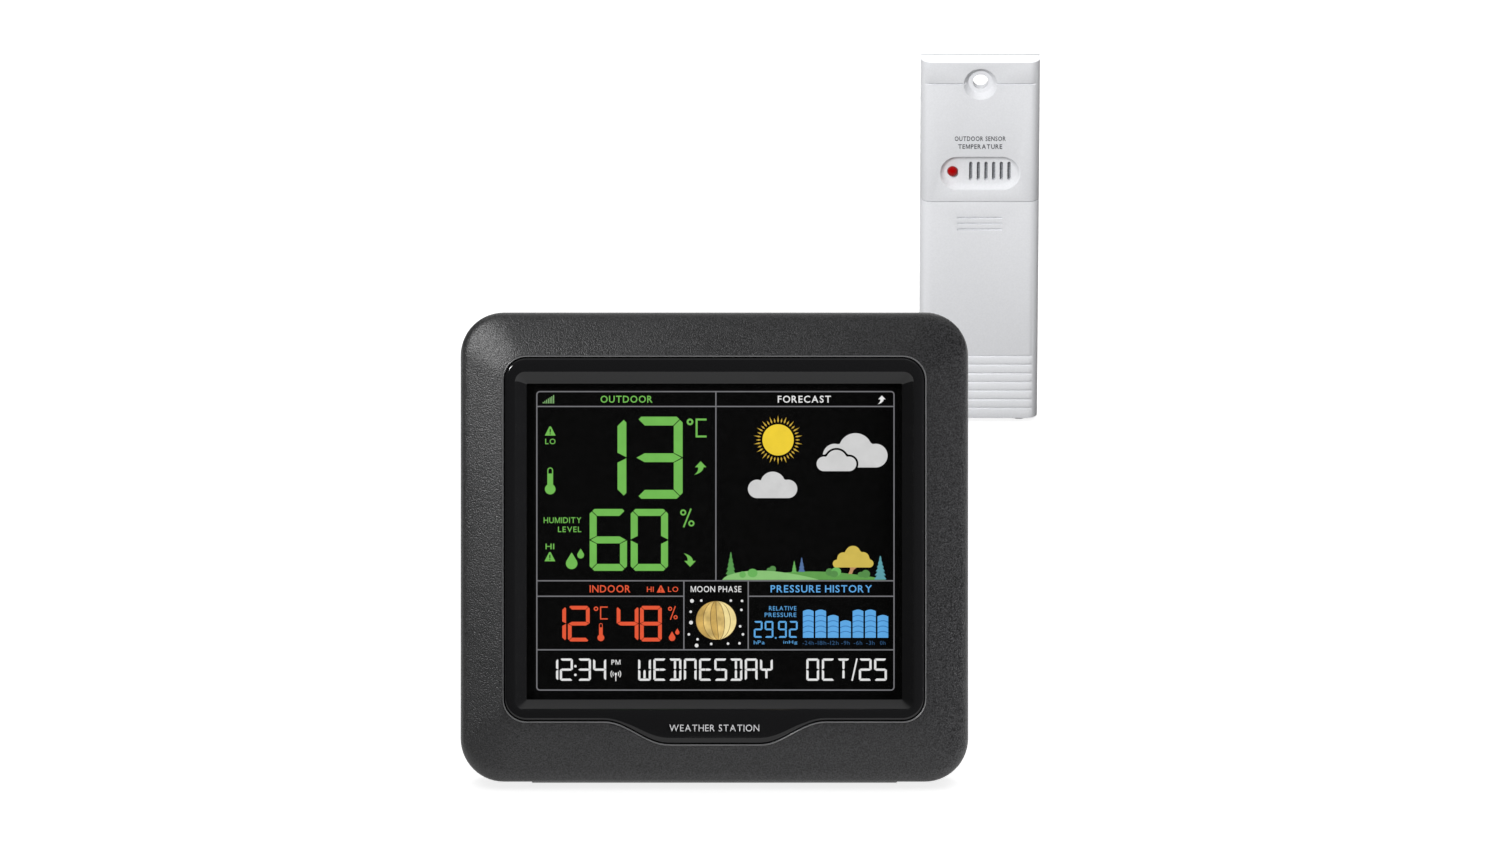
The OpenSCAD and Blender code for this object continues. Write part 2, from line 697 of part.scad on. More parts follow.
module sensor_front_shell() color([0.9, 0.9, 0.92]) sensor_pose()
  difference() {
    union() {
      difference() {
        intersection() {
          sensor_prism(0, sensor_split, sensor_h);
          depths(-1, sensor_seam_y);
        }
        sensor_prism(skin, sensor_split - 1, sensor_h - skin);
      }
      block([-16, skin + 0.4, tray_z1 + 1], [16, skin + 1.8, sensor_split + 1]);
      block([-16, skin - 0.4, sensor_split], [16, skin + 1.8, sensor_split + 1]);
      slab(rounded(-14.8, 14.8, vent_z - 7.4, vent_z + 7.4, 7.3), 0.5, 3.4);
      bar_y(0, hang_z, 6.4, 0.5, 3.6);
      for (side = [-1, 1], z = sensor_boss_zs) bar_y(side * sensor_boss_x, z, 2.3, 1, 12);
      for (side = [-1, 1], z = sensor_boss_zs) block([side * 17.8 - 0.8, 1.2, z - 0.8],
        [side * 17.8 + 0.8, sensor_seam_y, z + 0.8]);
    }
    translate([0, -0.01, hang_z]) rotate([-90, 0, 0]) cylinder(r1 = 5.7, r2 = 4, h = 2.2);
    bar_y(0, hang_z, hang_r, -1, 5);
    groove(hang_z, 21, 0.8, 0.7);
    vent_pocket();
    for (i = [0:5])
      slab(stadium_up(-3.1 + 2.58 * i, vent_z - 2.9, 0.55, 5.8), -1, 5);
    bar_y(led_x, vent_z, led_r + 0.12, -1, 5);
    bar_y(0, test_z, 2.15, 0, 5);
    for (side = [-1, 1], z = sensor_boss_zs) bar_y(side * sensor_boss_x, z, 1.2, 4, 13);
  }

// The shallow dish around the lamp and the vents.
module vent_pocket() {
  rings = [
    [13.7, 6.3, -0.2], [13.6, 6.2, 0.01], [13.2, 5.8, 0.5],
    [12.8, 5.4, 1], [12.2, 4.8, 1.5], [11.6, 4.2, 1.7]
  ];
  for (i = [0:len(rings) - 2])
    hull() for (ring = [rings[i], rings[i + 1]])
      slab(rounded(-ring[0], ring[0], vent_z - ring[1], vent_z + ring[1], ring[1] - 0.1),
        ring[2] - 0.01, ring[2]);
}

module sensor_rear_shell() color([0.9, 0.9, 0.92]) sensor_pose()
  difference() {
    union() {
      difference() {
        intersection() {
          sensor_prism(0, sensor_foot + skin + 0.3, sensor_h);
          union() {
            block([-30, sensor_side_y + 0.3, -1], [30, 30, sensor_split]);
            block([-30, sensor_seam_y + 0.6, sensor_split - 0.01], [30, 30, sensor_h + 1]);
          }
        }
        sensor_prism(skin, sensor_foot + skin + 0.3 + skin, sensor_h - skin);
      }
      for (z = [tray_z0 - 1.4, tray_z1])
        block([-16.2, skin + 1, z], [16.2, sensor_d - 1, z + 1.4 - (z > 20 ? 0.6 : 0)]);
      for (z = [tray_z0 + 12, tray_z1 - 14])
        difference() {
          block([-15.4, 10.6, z], [15.4, sensor_d - 1, z + 1.6]);
          for (side = [-1, 1]) bar_z(side * aa_x, aa_y, aa_r + 0.15, z - 1, z + 3);
        }
      block([-8, hang_web_y, hang_pocket_z - skin], [8, 8, sensor_h - skin - 0.3]);
      block([-8, sensor_seam_y + 0.7, hang_pocket_z - skin], [8, sensor_d - 0.5, sensor_h - 1]);
      for (side = [-1, 1], z = sensor_boss_zs) bar_y(side * sensor_boss_x, z, 2.6, 12.2, sensor_d - 0.5);
    }
    bar_y(0, hang_z, hang_r, 3, sensor_d - 4);
    slab(rounded(-6.4, 6.4, hang_pocket_z, sensor_h - 3.4, 2), hang_web_y + skin, sensor_d + 1);
    for (side = [-1, 1]) {
      block([side * 18.7 - 0.6, 10.3, 0], [side * 18.7 + 0.6, 12.1, sensor_split - 3]);
      block([side * 17.5 - 0.95, 3, 0], [side * 17.5 + 0.95, 12.7, sensor_split - 2.4]);
    }
    for (side = [-1, 1], z = sensor_boss_zs) {
      bar_y(side * sensor_boss_x, z, 1.3, 12, sensor_d + 1);
      bar_y(side * sensor_boss_x, z, 2.3, sensor_d - 2, sensor_d + 1);
    }
    for (i = [0:3])
      slab(stadium(0, 94 + 3.2 * i, 14, 1.2), sensor_d - skin - 1, sensor_d + 1);
  }

// The seal between the two halves of the upper case.
module sensor_gasket() color([0.6, 0.62, 0.64]) sensor_pose()
  difference() {
    intersection() {
      sensor_prism(0.1, sensor_split + 0.3, sensor_h - 0.1);
      depths(sensor_seam_y + 0.02, sensor_seam_y + 0.58);
    }
    sensor_prism(skin - 0.2, sensor_split - 1, sensor_h - skin + 0.2);
    for (side = [-1, 1], z = sensor_boss_zs) bar_y(side * sensor_boss_x, z, 2.6, 5, 9);
  }

// A grey dust screen glued behind the upright vents.
module sensor_vent_screen() color([0.35, 0.36, 0.37]) sensor_pose()
  slab(rounded(-5.2, 12, vent_z - 4.8, vent_z + 4.8, 1), 3.4, 3.8);

module sensor_board() color([0.05, 0.35, 0.16]) sensor_pose()
  slab(rounded(-12.4, 12.4, 68.6, 109.2, 1), sensor_board_y, sensor_board_y + sensor_board_t);

module sensor_led() color([0.75, 0.02, 0.02]) sensor_pose() {
  bar_y(led_x, vent_z, led_r, led_y, sensor_board_y);
  translate([led_x, led_y, vent_z]) rotate([90, 0, 0])
    difference() {
      sphere(r = led_r);
      translate([-3, -3, -6]) cube([6, 6, 6]);
    }
}

module sensor_thermistor() color([0.1, 0.1, 0.12]) sensor_pose() {
  translate([4, 5.6, vent_z]) sphere(r = 1.3);
  for (side = [-1, 1]) bar_y(4 + 0.6 * side, vent_z, 0.25, 6.6, sensor_board_y);
}

module sensor_chip() color([0.05, 0.05, 0.05]) sensor_pose() {
  slab(rounded(-8, 1, 98, 107, 0.5), sensor_board_y - 1.4, sensor_board_y);
  slab(rounded(-7, 0, 83, 88, 0.4), sensor_board_y - 1.2, sensor_board_y);
}

module sensor_antenna() color([0.75, 0.55, 0.2]) sensor_pose()
  translate([8, sensor_board_y + sensor_board_t + 3.2, 92]) tube(coil(2.4, 2.4, 14, 7), 0.4);

module sensor_test_switch() color([0.12, 0.12, 0.12]) sensor_pose() {
  slab(rounded(-3, 3, test_z - 3, test_z + 3, 0.4), sensor_board_y - 1.6, sensor_board_y);
  bar_y(0, test_z, 1.5, sensor_board_y - 2.1, sensor_board_y - 1.6);
}

module sensor_test_button() color([0.15, 0.15, 0.16]) sensor_pose() {
  bar_y(0, test_z, 2, 2.2, sensor_board_y - 2.8);
  bar_y(0, test_z, 3, 4.2, 5);
}

// Two AA cells side by side, one up and one down.
module sensor_batteries() color([0.75, 0.2, 0.1]) sensor_pose()
  for (side = [-1, 1]) {
    tip = side < 0 ? tray_z1 - contact_t : tray_z0 + contact_t;
    bar_z(side * aa_x, aa_y, 2.7, min(tip, tip + side), max(tip, tip + side));
    bar_z(side * aa_x, aa_y, aa_r - 0.05,
      min(tip + side, tip + side * aa_len), max(tip + side, tip + side * aa_len));
  }

module sensor_battery_contacts() color([0.8, 0.8, 0.8]) sensor_pose()
  for (side = [-1, 1], z = [tray_z0, tray_z1 - contact_t])
    block([side * aa_x - 5, aa_y - 5, z], [side * aa_x + 5, aa_y + 5, z + contact_t]);

module sensor_battery_springs() color([0.85, 0.85, 0.85]) sensor_pose() {
  h = spring_len - 0.9;
  translate([-aa_x, aa_y, tray_z0 + contact_t + 0.45]) tube(coil(4.6, 2.4, h, 4), 0.4);
  translate([aa_x, aa_y, tray_z1 - contact_t - 0.45]) rotate([180, 0, 0]) tube(coil(4.6, 2.4, h, 4), 0.4);
}

module sensor_screws() color([0.6, 0.6, 0.62]) sensor_pose()
  for (side = [-1, 1], z = sensor_boss_zs)
    screw(side * sensor_boss_x, z, sensor_d - 0.4, 2.1, 1.5, 1.05, 10.5);

// ---------- nodes ----------

front_frame();
gloss_bezel();
display_window();
lcd_panel();
diffuser_film();
light_guide();
backlight_strip();
backlight_leds();
lcd_carrier();
lcd_ribbon();
main_board();
processor_chip();
board_capacitors();
clock_crystal();
piezo_buzzer();
room_sensor();
receiver_module();
receiver_antenna();
button_board();
button_switches();
power_board();
power_jack();
backlight_switch_body();
rear_cover();
foot_strip();
console_batteries();
console_battery_contacts();
console_battery_springs();
case_screws();
board_screws();
battery_door();
kickstand();
stand_foot();
light_button();
set_button();
plus_button();
minus_button();
alert_button();
signal_button();
backlight_switch_knob();
sensor_battery_cover();
sensor_front_shell();
sensor_rear_shell();
sensor_gasket();
sensor_vent_screen();
sensor_board();
sensor_led();
sensor_thermistor();
sensor_chip();
sensor_antenna();
sensor_test_switch();
sensor_test_button();
sensor_batteries();
sensor_battery_contacts();
sensor_battery_springs();
sensor_screws();
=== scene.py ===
"""Home weather station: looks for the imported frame.

Lengths are in metres where the frame is read, and in millimetres (times MM) in the shapes.
The console's pieces are drawn upright, with x to the right, y into the case and z up the face,
and CONSOLE leans them back. The sensor's pieces are drawn with their front face at y = 0.
"""
import json
import math

import bmesh
import bpy
from mathutils import Matrix, Vector

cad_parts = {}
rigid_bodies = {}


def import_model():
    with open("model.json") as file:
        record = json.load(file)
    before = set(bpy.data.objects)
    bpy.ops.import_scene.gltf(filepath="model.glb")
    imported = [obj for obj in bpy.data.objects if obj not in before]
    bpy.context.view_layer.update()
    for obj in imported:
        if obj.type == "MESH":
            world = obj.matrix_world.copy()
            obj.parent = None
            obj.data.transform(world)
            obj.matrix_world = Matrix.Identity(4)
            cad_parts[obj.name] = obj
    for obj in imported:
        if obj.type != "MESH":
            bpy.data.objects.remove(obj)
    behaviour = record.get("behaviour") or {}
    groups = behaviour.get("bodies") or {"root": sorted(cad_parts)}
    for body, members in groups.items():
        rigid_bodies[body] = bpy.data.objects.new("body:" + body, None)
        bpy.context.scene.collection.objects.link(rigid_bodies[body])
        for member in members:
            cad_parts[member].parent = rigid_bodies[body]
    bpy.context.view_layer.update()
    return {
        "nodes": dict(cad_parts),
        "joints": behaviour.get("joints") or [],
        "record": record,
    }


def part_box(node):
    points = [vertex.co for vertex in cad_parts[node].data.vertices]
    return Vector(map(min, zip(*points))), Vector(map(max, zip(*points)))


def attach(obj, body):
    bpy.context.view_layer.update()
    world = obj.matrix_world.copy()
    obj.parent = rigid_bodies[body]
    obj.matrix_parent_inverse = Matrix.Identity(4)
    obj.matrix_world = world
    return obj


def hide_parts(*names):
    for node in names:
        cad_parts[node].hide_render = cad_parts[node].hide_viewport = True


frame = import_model()
MM = 0.001
NODES = frame["nodes"]
SLOT_OF = {part["node"]: part["material_slot"] for part in frame["record"]["subparts"]}


# ---------- the console's own directions, read from the frame ----------

def joint(name):
    """The frame's own entry for a joint."""
    return next(entry for entry in frame["joints"] if entry["name"] == name)


def span(node, axis):
    """How far a node reaches along a direction: (least, most)."""
    along = [v.co.dot(axis) for v in NODES[node].data.vertices]
    return min(along), max(along)


RIGHT = Vector((1, 0, 0))
UP = Vector(joint("backlight_slide")["axis"]).normalized()
BACK = Vector((0, UP.z, -UP.y))
FACE_LOW, FACE_TOP = span("front_frame", UP)
FACE_FRONT = span("front_frame", BACK)[0]
CONSOLE = Matrix.Translation(UP * FACE_LOW + BACK * FACE_FRONT) @ Matrix(
    (RIGHT * MM, BACK * MM, UP * MM)).transposed().to_4x4()
FACE_W = (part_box("front_frame")[1].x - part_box("front_frame")[0].x) / MM
FACE_H = (FACE_TOP - FACE_LOW) / MM
TABLE_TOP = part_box("foot_strip")[1].z
SENSOR_LOW, SENSOR_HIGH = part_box("sensor_front_shell")
SENSOR_X = (SENSOR_LOW.x + SENSOR_HIGH.x) / 2
SENSOR = Matrix.Translation((SENSOR_X, SENSOR_LOW.y, 0)) @ Matrix.Diagonal((MM, MM, MM, 1))


def console_span(node, axis):
    """A node's reach in the console's own millimetres: along BACK for depth, along UP for height."""
    start = FACE_FRONT if axis is BACK else FACE_LOW
    return [(value - start) / MM for value in span(node, axis)]


# ---------- materials ----------

def new_material(name, color, roughness=0.5, metallic=0.0):
    """A Principled material and its nodes."""
    material = bpy.data.materials.new(name)
    material.use_nodes = True
    tree = material.node_tree
    shader = tree.nodes["Principled BSDF"]
    shader.inputs["Base Color"].default_value = (*color, 1)
    shader.inputs["Roughness"].default_value = roughness
    shader.inputs["Metallic"].default_value = metallic
    return material, tree, shader


def add_node(tree, kind, **inputs):
    """A shader node with some of its inputs set; an input's spaces are written as underscores."""
    node = tree.nodes.new(kind)
    for key, value in inputs.items():
        node.inputs[key.replace("_", " ")].default_value = value
    return node


def noise(tree, scale, detail=2.0, stretch=(1, 1, 1)):
    """A noise of about a given number of waves per metre."""
    where = tree.nodes.new("ShaderNodeTexCoord")
    mapping = add_node(tree, "ShaderNodeMapping", Scale=stretch)
    texture = add_node(tree, "ShaderNodeTexNoise", Scale=scale, Detail=detail)
    tree.links.new(where.outputs["Object"], mapping.inputs["Vector"])
    tree.links.new(mapping.outputs["Vector"], texture.inputs["Vector"])
    return texture.outputs["Fac"]


def ramp(tree, value, stops):
    """A colour ramp from (place, colour) stops."""
    node = tree.nodes.new("ShaderNodeValToRGB")
    elements = node.color_ramp.elements
    while len(elements) < len(stops):
        elements.new(0.5)
    for element, (place, color) in zip(elements, stops):
        element.position = place
        element.color = (*color, 1)
    tree.links.new(value, node.inputs["Fac"])
    return node.outputs["Color"]


def grey(value):
    """A neutral colour."""
    return (value, value, value)


def bump(tree, shader, height, distance):
    """Relief of a number of metres on a shader."""
    node = add_node(tree, "ShaderNodeBump", Distance=distance)
    tree.links.new(height, node.inputs["Height"])
    tree.links.new(node.outputs["Normal"], shader.inputs["Normal"])


def shade(color, factor):
    """A colour made darker (below 1) or lighter (above 1)."""
    return tuple(min(1.0, part * factor) for part in color)


def srgb(red, green, blue):
    """A screen colour of 0 to 255 as linear light."""
    def linear(part):
        return ((part / 255 + 0.055) / 1.055) ** 2.4 if part > 10 else part / 255 / 12.92

    return (linear(red), linear(green), linear(blue))


def moulded(name, color, roughness, grain=1500, depth=0.00006, spread=0.12, mottle=40):
    """Moulded plastic: a spark-eroded grain, with slow changes of tone and gloss."""
    material, tree, shader = new_material(name, color, roughness)
    fine = noise(tree, grain, 3)
    slow = noise(tree, mottle, 3)
    tint = ramp(tree, fine, [(0.35, shade(color, 1 - spread)), (0.65, shade(color, 1 + spread))])
    tree.links.new(tint, shader.inputs["Base Color"])
    gloss = ramp(tree, slow, [(0.3, grey(roughness - 0.04)), (0.7, grey(roughness + 0.04))])
    tree.links.new(gloss, shader.inputs["Roughness"])
    bump(tree, shader, fine, depth)
    return material


def polished(name, color, roughness=0.08, coat=0.4, specular=0.5):
    """Piano-gloss plastic, with faint waviness and traces of handling in its gloss."""
    material, tree, shader = new_material(name, color, roughness)
    shader.inputs["Coat Weight"].default_value = coat
    shader.inputs["Specular IOR Level"].default_value = specular
    shader.inputs["Coat Roughness"].default_value = 0.03
    smear = noise(tree, 90, 4, (1, 1, 3))
    gloss = ramp(tree, smear, [(0.4, grey(roughness)), (0.75, grey(roughness + 0.07))])
    tree.links.new(gloss, shader.inputs["Roughness"])
    bump(tree, shader, noise(tree, 60, 1), 0.00002)
    return material


def metal(name, color, roughness):
    """Plated or drawn metal with fine brushing across z."""
    material, tree, shader = new_material(name, color, roughness, 1.0)
    lines = noise(tree, 900, 3, (1, 1, 12))
    gloss = ramp(tree, lines, [(0.3, grey(roughness - 0.05)), (0.7, grey(roughness + 0.12))])
    tree.links.new(gloss, shader.inputs["Roughness"])
    tint = ramp(tree, noise(tree, 200, 2), [(0.3, shade(color, 0.85)), (0.7, color)])
    tree.links.new(tint, shader.inputs["Base Color"])
    bump(tree, shader, lines, 0.00001)
    return material


def clear(name, color, alpha, roughness=0.03):
    """A clear sheet: mostly see-through, with a faint gloss."""
    material, tree, shader = new_material(name, color, roughness)
    shader.inputs["Alpha"].default_value = alpha
    smear = ramp(tree, noise(tree, 70, 3), [(0.4, grey(roughness)), (0.8, grey(roughness + 0.05))])
    tree.links.new(smear, shader.inputs["Roughness"])
    return material


def dark_glass(name, color):
    """The display's black ground, which gives back almost no light."""
    material, tree, shader = new_material(name, color, 0.6)
    shader.inputs["Specular IOR Level"].default_value = 0.02
    tint = ramp(tree, noise(tree, 500, 2), [(0.35, shade(color, 0.7)), (0.65, shade(color, 1.3))])
    tree.links.new(tint, shader.inputs["Base Color"])
    return material


def lit(name, color, speckle=0.04):
    """A lit part of the display: its own light, a little uneven as a backlight is."""
    material, tree, shader = new_material(name, grey(0.01), 0.5)
    shader.inputs["Specular IOR Level"].default_value = 0.1
    uneven = noise(tree, 300, 2)
    tint = ramp(tree, uneven, [(0.3, shade(color, 1 - speckle)), (0.7, shade(color, 1 + speckle))])
    tree.links.new(tint, shader.inputs["Emission Color"])
    shader.inputs["Emission Strength"].default_value = 1.0
    return material


def circuit_board(name):
    """Green solder mask over copper tracks that show as lighter lines."""
    material, tree, shader = new_material(name, srgb(16, 84, 44), 0.28)
    where = tree.nodes.new("ShaderNodeTexCoord")
    bricks = add_node(tree, "ShaderNodeTexBrick", Scale=260, Mortar_Size=0.06)
    bricks.inputs["Color1"].default_value = (*srgb(14, 82, 42), 1)
    bricks.inputs["Color2"].default_value = (*srgb(20, 96, 50), 1)
    bricks.inputs["Mortar"].default_value = (*srgb(44, 132, 78), 1)
    tilt = add_node(tree, "ShaderNodeMapping", Rotation=(math.pi / 2, 0, 0))
    tree.links.new(where.outputs["Object"], tilt.inputs["Vector"])
    tree.links.new(tilt.outputs["Vector"], bricks.inputs["Vector"])
    tree.links.new(bricks.outputs["Color"], shader.inputs["Base Color"])
    bump(tree, shader, bricks.outputs["Fac"], 0.00003)
    return material


def rubber(name, color):
    """Matt rubber."""
    return moulded(name, color, 0.75, grain=2600, depth=0.00005, spread=0.25, mottle=60)


SLOTS = {
    "charcoal_shell": moulded("charcoal_shell", srgb(32, 32, 33), 0.34, 2200, 0.00015, 0.85, 30),
    "gloss_black": polished("gloss_black", srgb(17, 17, 18), 0.07, 0.0, 0.3),
    "window_clear": clear("window_clear", grey(0.005), 0.04),
    "display_glass": dark_glass("display_glass", grey(0.0015)),
    "white_film": moulded("white_film", srgb(236, 237, 240), 0.5, 900, 0.00001, 0.02),
    "clear_guide": clear("clear_guide", srgb(226, 238, 245), 0.45, 0.05),
    "white_plastic": moulded("white_plastic", srgb(232, 231, 226), 0.45, 1500, 0.00002, 0.03),
    "led_yellow": moulded("led_yellow", srgb(246, 226, 120), 0.3, 2000, 0.00001, 0.05),
    "ribbon_amber": polished("ribbon_amber", srgb(186, 112, 40), 0.25, 0.2),
    "board_green": circuit_board("board_green"),
    "chip_black": moulded("chip_black", srgb(28, 28, 30), 0.45, 3000, 0.00002, 0.2),
    "capacitor_blue": polished("capacitor_blue", srgb(46, 62, 120), 0.25, 0.2),
    "crystal_can": metal("crystal_can", grey(0.62), 0.28),
    "cell_wrap": polished("cell_wrap", srgb(176, 52, 30), 0.22, 0.3),
    "nickel": metal("nickel", (0.66, 0.65, 0.62), 0.22),
    "screw_steel": metal("screw_steel", (0.5, 0.5, 0.5), 0.3),
    "antenna_wire": moulded("antenna_wire", srgb(30, 30, 30), 0.5),
    "coil_copper": metal("coil_copper", (0.72, 0.36, 0.16), 0.25),
    "foot_rubber": rubber("foot_rubber", srgb(26, 26, 26)),
    "button_black": moulded("button_black", srgb(34, 34, 36), 0.42, 1800, 0.00004, 0.15),
    "knob_grey": moulded("knob_grey", srgb(190, 190, 190), 0.4, 1800, 0.00003, 0.05),
    "pearl_shell": moulded("pearl_shell", srgb(230, 231, 234), 0.42, 1900, 0.00003, 0.02, 24),
    "gasket_grey": rubber("gasket_grey", srgb(140, 142, 146)),
    "led_red": polished("led_red", srgb(164, 0, 2), 0.3, 0.0, 0.2),
}
# The lip is a lighter grey than the charcoal shell. This is a painted highlight for the thin light line round
# the opening, on top of the light its gloss catches.
LIP_WITH_PAINTED_HIGHLIGHT = polished("satin_lip_painted_highlight", srgb(84, 84, 85), 0.3, 0.0, 0.9)
DISPLAY = {
    "green": lit("lit_green", srgb(112, 187, 80)),
    "pale_green": lit("lit_pale_green", srgb(138, 190, 120)),
    "orange": lit("lit_orange", srgb(232, 84, 46)),
    "blue": lit("lit_blue", srgb(92, 170, 232)),
    "deep_blue": lit("lit_deep_blue", srgb(58, 124, 186)),
    "dim_blue": lit("lit_dim_blue", srgb(38, 78, 118)),
    "white": lit("lit_white", srgb(232, 232, 232)),
    "line": lit("lit_line", srgb(118, 118, 122)),
    "cloud": lit("lit_cloud", srgb(211, 211, 211)),
    "sun": lit("lit_sun", srgb(244, 211, 48)),
    "ray": lit("lit_ray", srgb(206, 170, 56)),
    "meadow": lit("lit_meadow", srgb(138, 196, 118)),
    "hill": lit("lit_hill", srgb(94, 158, 74)),
    "bush": lit("lit_bush", srgb(82, 140, 70)),
    "leaf": lit("lit_leaf", srgb(104, 178, 88)),
    "pine": lit("lit_pine", srgb(84, 152, 74)),
    "spruce": lit("lit_spruce", srgb(78, 110, 158)),
    "teal": lit("lit_teal", srgb(92, 160, 170)),
    "gold": lit("lit_gold", srgb(206, 182, 78)),
    "trunk": lit("lit_trunk", srgb(184, 138, 96)),
    "moon": lit("lit_moon", srgb(220, 188, 112), 0.3),
    "moon_dark": lit("lit_moon_dark", srgb(202, 166, 88), 0.25),
    "moon_light": lit("lit_moon_light", srgb(240, 220, 152), 0.14),
    "moon_line": lit("lit_moon_line", srgb(128, 102, 58), 0.2),
    "black": dark_glass("unlit_black", grey(0.0015)),
}
INKS = {
    "silver_print": moulded("silver_print", srgb(176, 176, 178), 0.5, 2600, 0.000005, 0.05),
    "grey_print": moulded("grey_print", srgb(54, 56, 60), 0.5, 2600, 0.000005, 0.05),
}


# ---------- meshes ----------

def add_piece(name, verts, faces, place, material, body, smooth=True):
    """A new mesh piece that rides on a body. place turns its own millimetres into the frame's metres."""
    mesh = bpy.data.meshes.new(name)
    mesh.from_pydata([place @ Vector(v) for v in verts], [], faces)
    build = bmesh.new()
    build.from_mesh(mesh)
    bmesh.ops.remove_doubles(build, verts=build.verts, dist=1e-7)
    bmesh.ops.recalc_face_normals(build, faces=build.faces)
    build.to_mesh(mesh)
    build.free()
    mesh.polygons.foreach_set("use_smooth", [smooth] * len(mesh.polygons))
    piece = bpy.data.objects.new(name, mesh)
    bpy.context.scene.collection.objects.link(piece)
    mesh.materials.append(material)
    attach(piece, body)
    return piece


def loft(rings):
    """Closed rings joined into a closed skin that also joins the last ring to the first."""
    count = len(rings[0])
    verts = [point for ring in rings for point in ring]
    faces = []
    for i in range(len(rings)):
        here, there = i * count, (i + 1) % len(rings) * count
        for k in range(count):
            after = (k + 1) % count
            faces.append((here + k, here + after, there + after, there + k))
    return verts, faces


def add_bevel(piece, width):
    """Soft edges on a piece whose edges are sharp."""
    piece.modifiers.new("weld", "WELD").merge_threshold = 2e-6
    soft = piece.modifiers.new("soft_edges", "BEVEL")
    soft.width = width
    soft.segments = 3
    soft.limit_method = "ANGLE"
    soft.angle_limit = math.radians(30)
    soft.harden_normals = False
    soft.use_clamp_overlap = True


def smooth_by_angle(piece, angle):
    """Smooth shading that keeps the sharp edges."""
    mesh = piece.data
    mesh.polygons.foreach_set("use_smooth", [True] * len(mesh.polygons))
    mesh.set_sharp_from_angle(angle=math.radians(angle))


# ---------- outlines ----------

def arc(cx, cz, radius, start, end, steps=8):
    """Points of an arc, angles in degrees."""
    angles = [math.radians(start + (end - start) * i / steps) for i in range(steps + 1)]
    return [(cx + radius * math.cos(angle), cz + radius * math.sin(angle)) for angle in angles]


CORNER_STEPS = 14
BOTTOM_STEPS = 64


def ring_of(half, low, high, radius):
    """A rounded rectangle, anticlockwise from its lower right corner.

    Its lower edge has many points, so that the tongue can be shaped there."""
    points = arc(half - radius, low + radius, radius, 270, 360, CORNER_STEPS)
    points += arc(half - radius, high - radius, radius, 0, 90, CORNER_STEPS)
    points += arc(radius - half, high - radius, radius, 90, 180, CORNER_STEPS)
    points += arc(radius - half, low + radius, radius, 180, 270, CORNER_STEPS)
    reach = half - radius
    points += [(reach * (2 * i / BOTTOM_STEPS - 1), low) for i in range(1, BOTTOM_STEPS)]
    return points


# ---------- console: the front shell and the gloss surround ----------

EDGE_DEPTH = 6.6
OUTLINE_R = 14
ROUND_DEPTH = 1.9
ROUND_START = 0.86
SLOPE_POWER = 1.2
OPENING_HALF, OPENING_LOW, OPENING_HIGH, OPENING_R = 68, 19.6, 137.2, 7.4
TONGUE_DROP, TONGUE_FLAT, TONGUE_RUN = 7.4, 14.7, 20.9
BEZEL_PROUD = 0.5
SHELL_DEPTH = console_span("front_frame", BACK)[1]
SHELL_WALL = 2.2
SHELL_INSIDE = 3.2
CAVITY_FRONT = 7.8
CAVITY_LOW = 5
BACK_EDGE_R = 0.4


def tongue_drop(x):
    """How far the opening's lower edge is pulled down at x, in a smooth swoop to each side of its flat."""
    share = min(1, max(0, (abs(x) - TONGUE_FLAT) / TONGUE_RUN))
    return TONGUE_DROP * (1 + math.cos(math.pi * share)) / 2


def slope_depth(share):
    """Depth of the shell's sloping front: 0 at the lip, 1 at the outline, where it rounds over."""
    share = min(1, max(0, share))
    turn = max(0, (share - ROUND_START) / (1 - ROUND_START))
    slope = (EDGE_DEPTH - ROUND_DEPTH) * share ** SLOPE_POWER
    return slope + ROUND_DEPTH * (1 - math.sqrt(max(0, 1 - turn * turn)))


def slope_ring(share):
    """The outline at a share of the way from the lip to the console's outline."""
    half = OPENING_HALF + (FACE_W / 2 - OPENING_HALF) * share
    low = OPENING_LOW * (1 - share)
    high = OPENING_HIGH + (FACE_H - OPENING_HIGH) * share
    return ring_of(half, low, high, OPENING_R + (OUTLINE_R - OPENING_R) * share)


NEARLY = 0.001
LIP_ROUNDS = 20


def lip_share(index):
    """Where the opening, with its tongue, crosses the slope, for one point of the ring."""
    inner, outer = slope_ring(0)[index], slope_ring(1)[index]
    if inner[1] > OPENING_LOW + NEARLY:
        return 0
    share = 0
    for _ in range(LIP_ROUNDS):
        x = inner[0] + (outer[0] - inner[0]) * share
        share = tongue_drop(x) / OPENING_LOW
    return share


def starts_of_slope():
    """Where the slope starts, as a share of its way out, for each point of the ring."""
    return [lip_share(i) for i in range(len(slope_ring(0)))]


def mix(a, b, share):
    """A point a share of the way from a to b."""
    return tuple(p + (q - p) * share for p, q in zip(a, b))


def level_with_foot(point):
    """Keeps a point of the shell above the level cut of its bottom edge."""
    placed = CONSOLE @ Vector(point)
    if placed.z >= TABLE_TOP:
        return point
    placed.z = TABLE_TOP
    return tuple(CONSOLE.inverted() @ placed)


# The lip's rounding, as (share of the way out, depth behind the slope), from inside the opening.
LIP_STEPS = [(0, SHELL_INSIDE), (0, 0.36), (0.012, 0.14), (0.028, 0.02), (0.036, 0)]
SLOPE_STEPS = [0.05, 0.12, 0.22, 0.34, 0.46, 0.58, 0.7, 0.8, 0.87, 0.92, 0.955, 0.98, 0.993, 1]


def slope_front_ring(share, sink, starts):
    """A ring on the sloping front, or sunk behind it. A share of 0 is the opening's edge."""
    ring = []
    for inner, outer, start in zip(slope_ring(0), slope_ring(1), starts):
        here = start + (1 - start) * share
        x, z = mix(inner, outer, here)
        ring.append(level_with_foot((x, slope_depth(here) + sink, z)))
    return ring


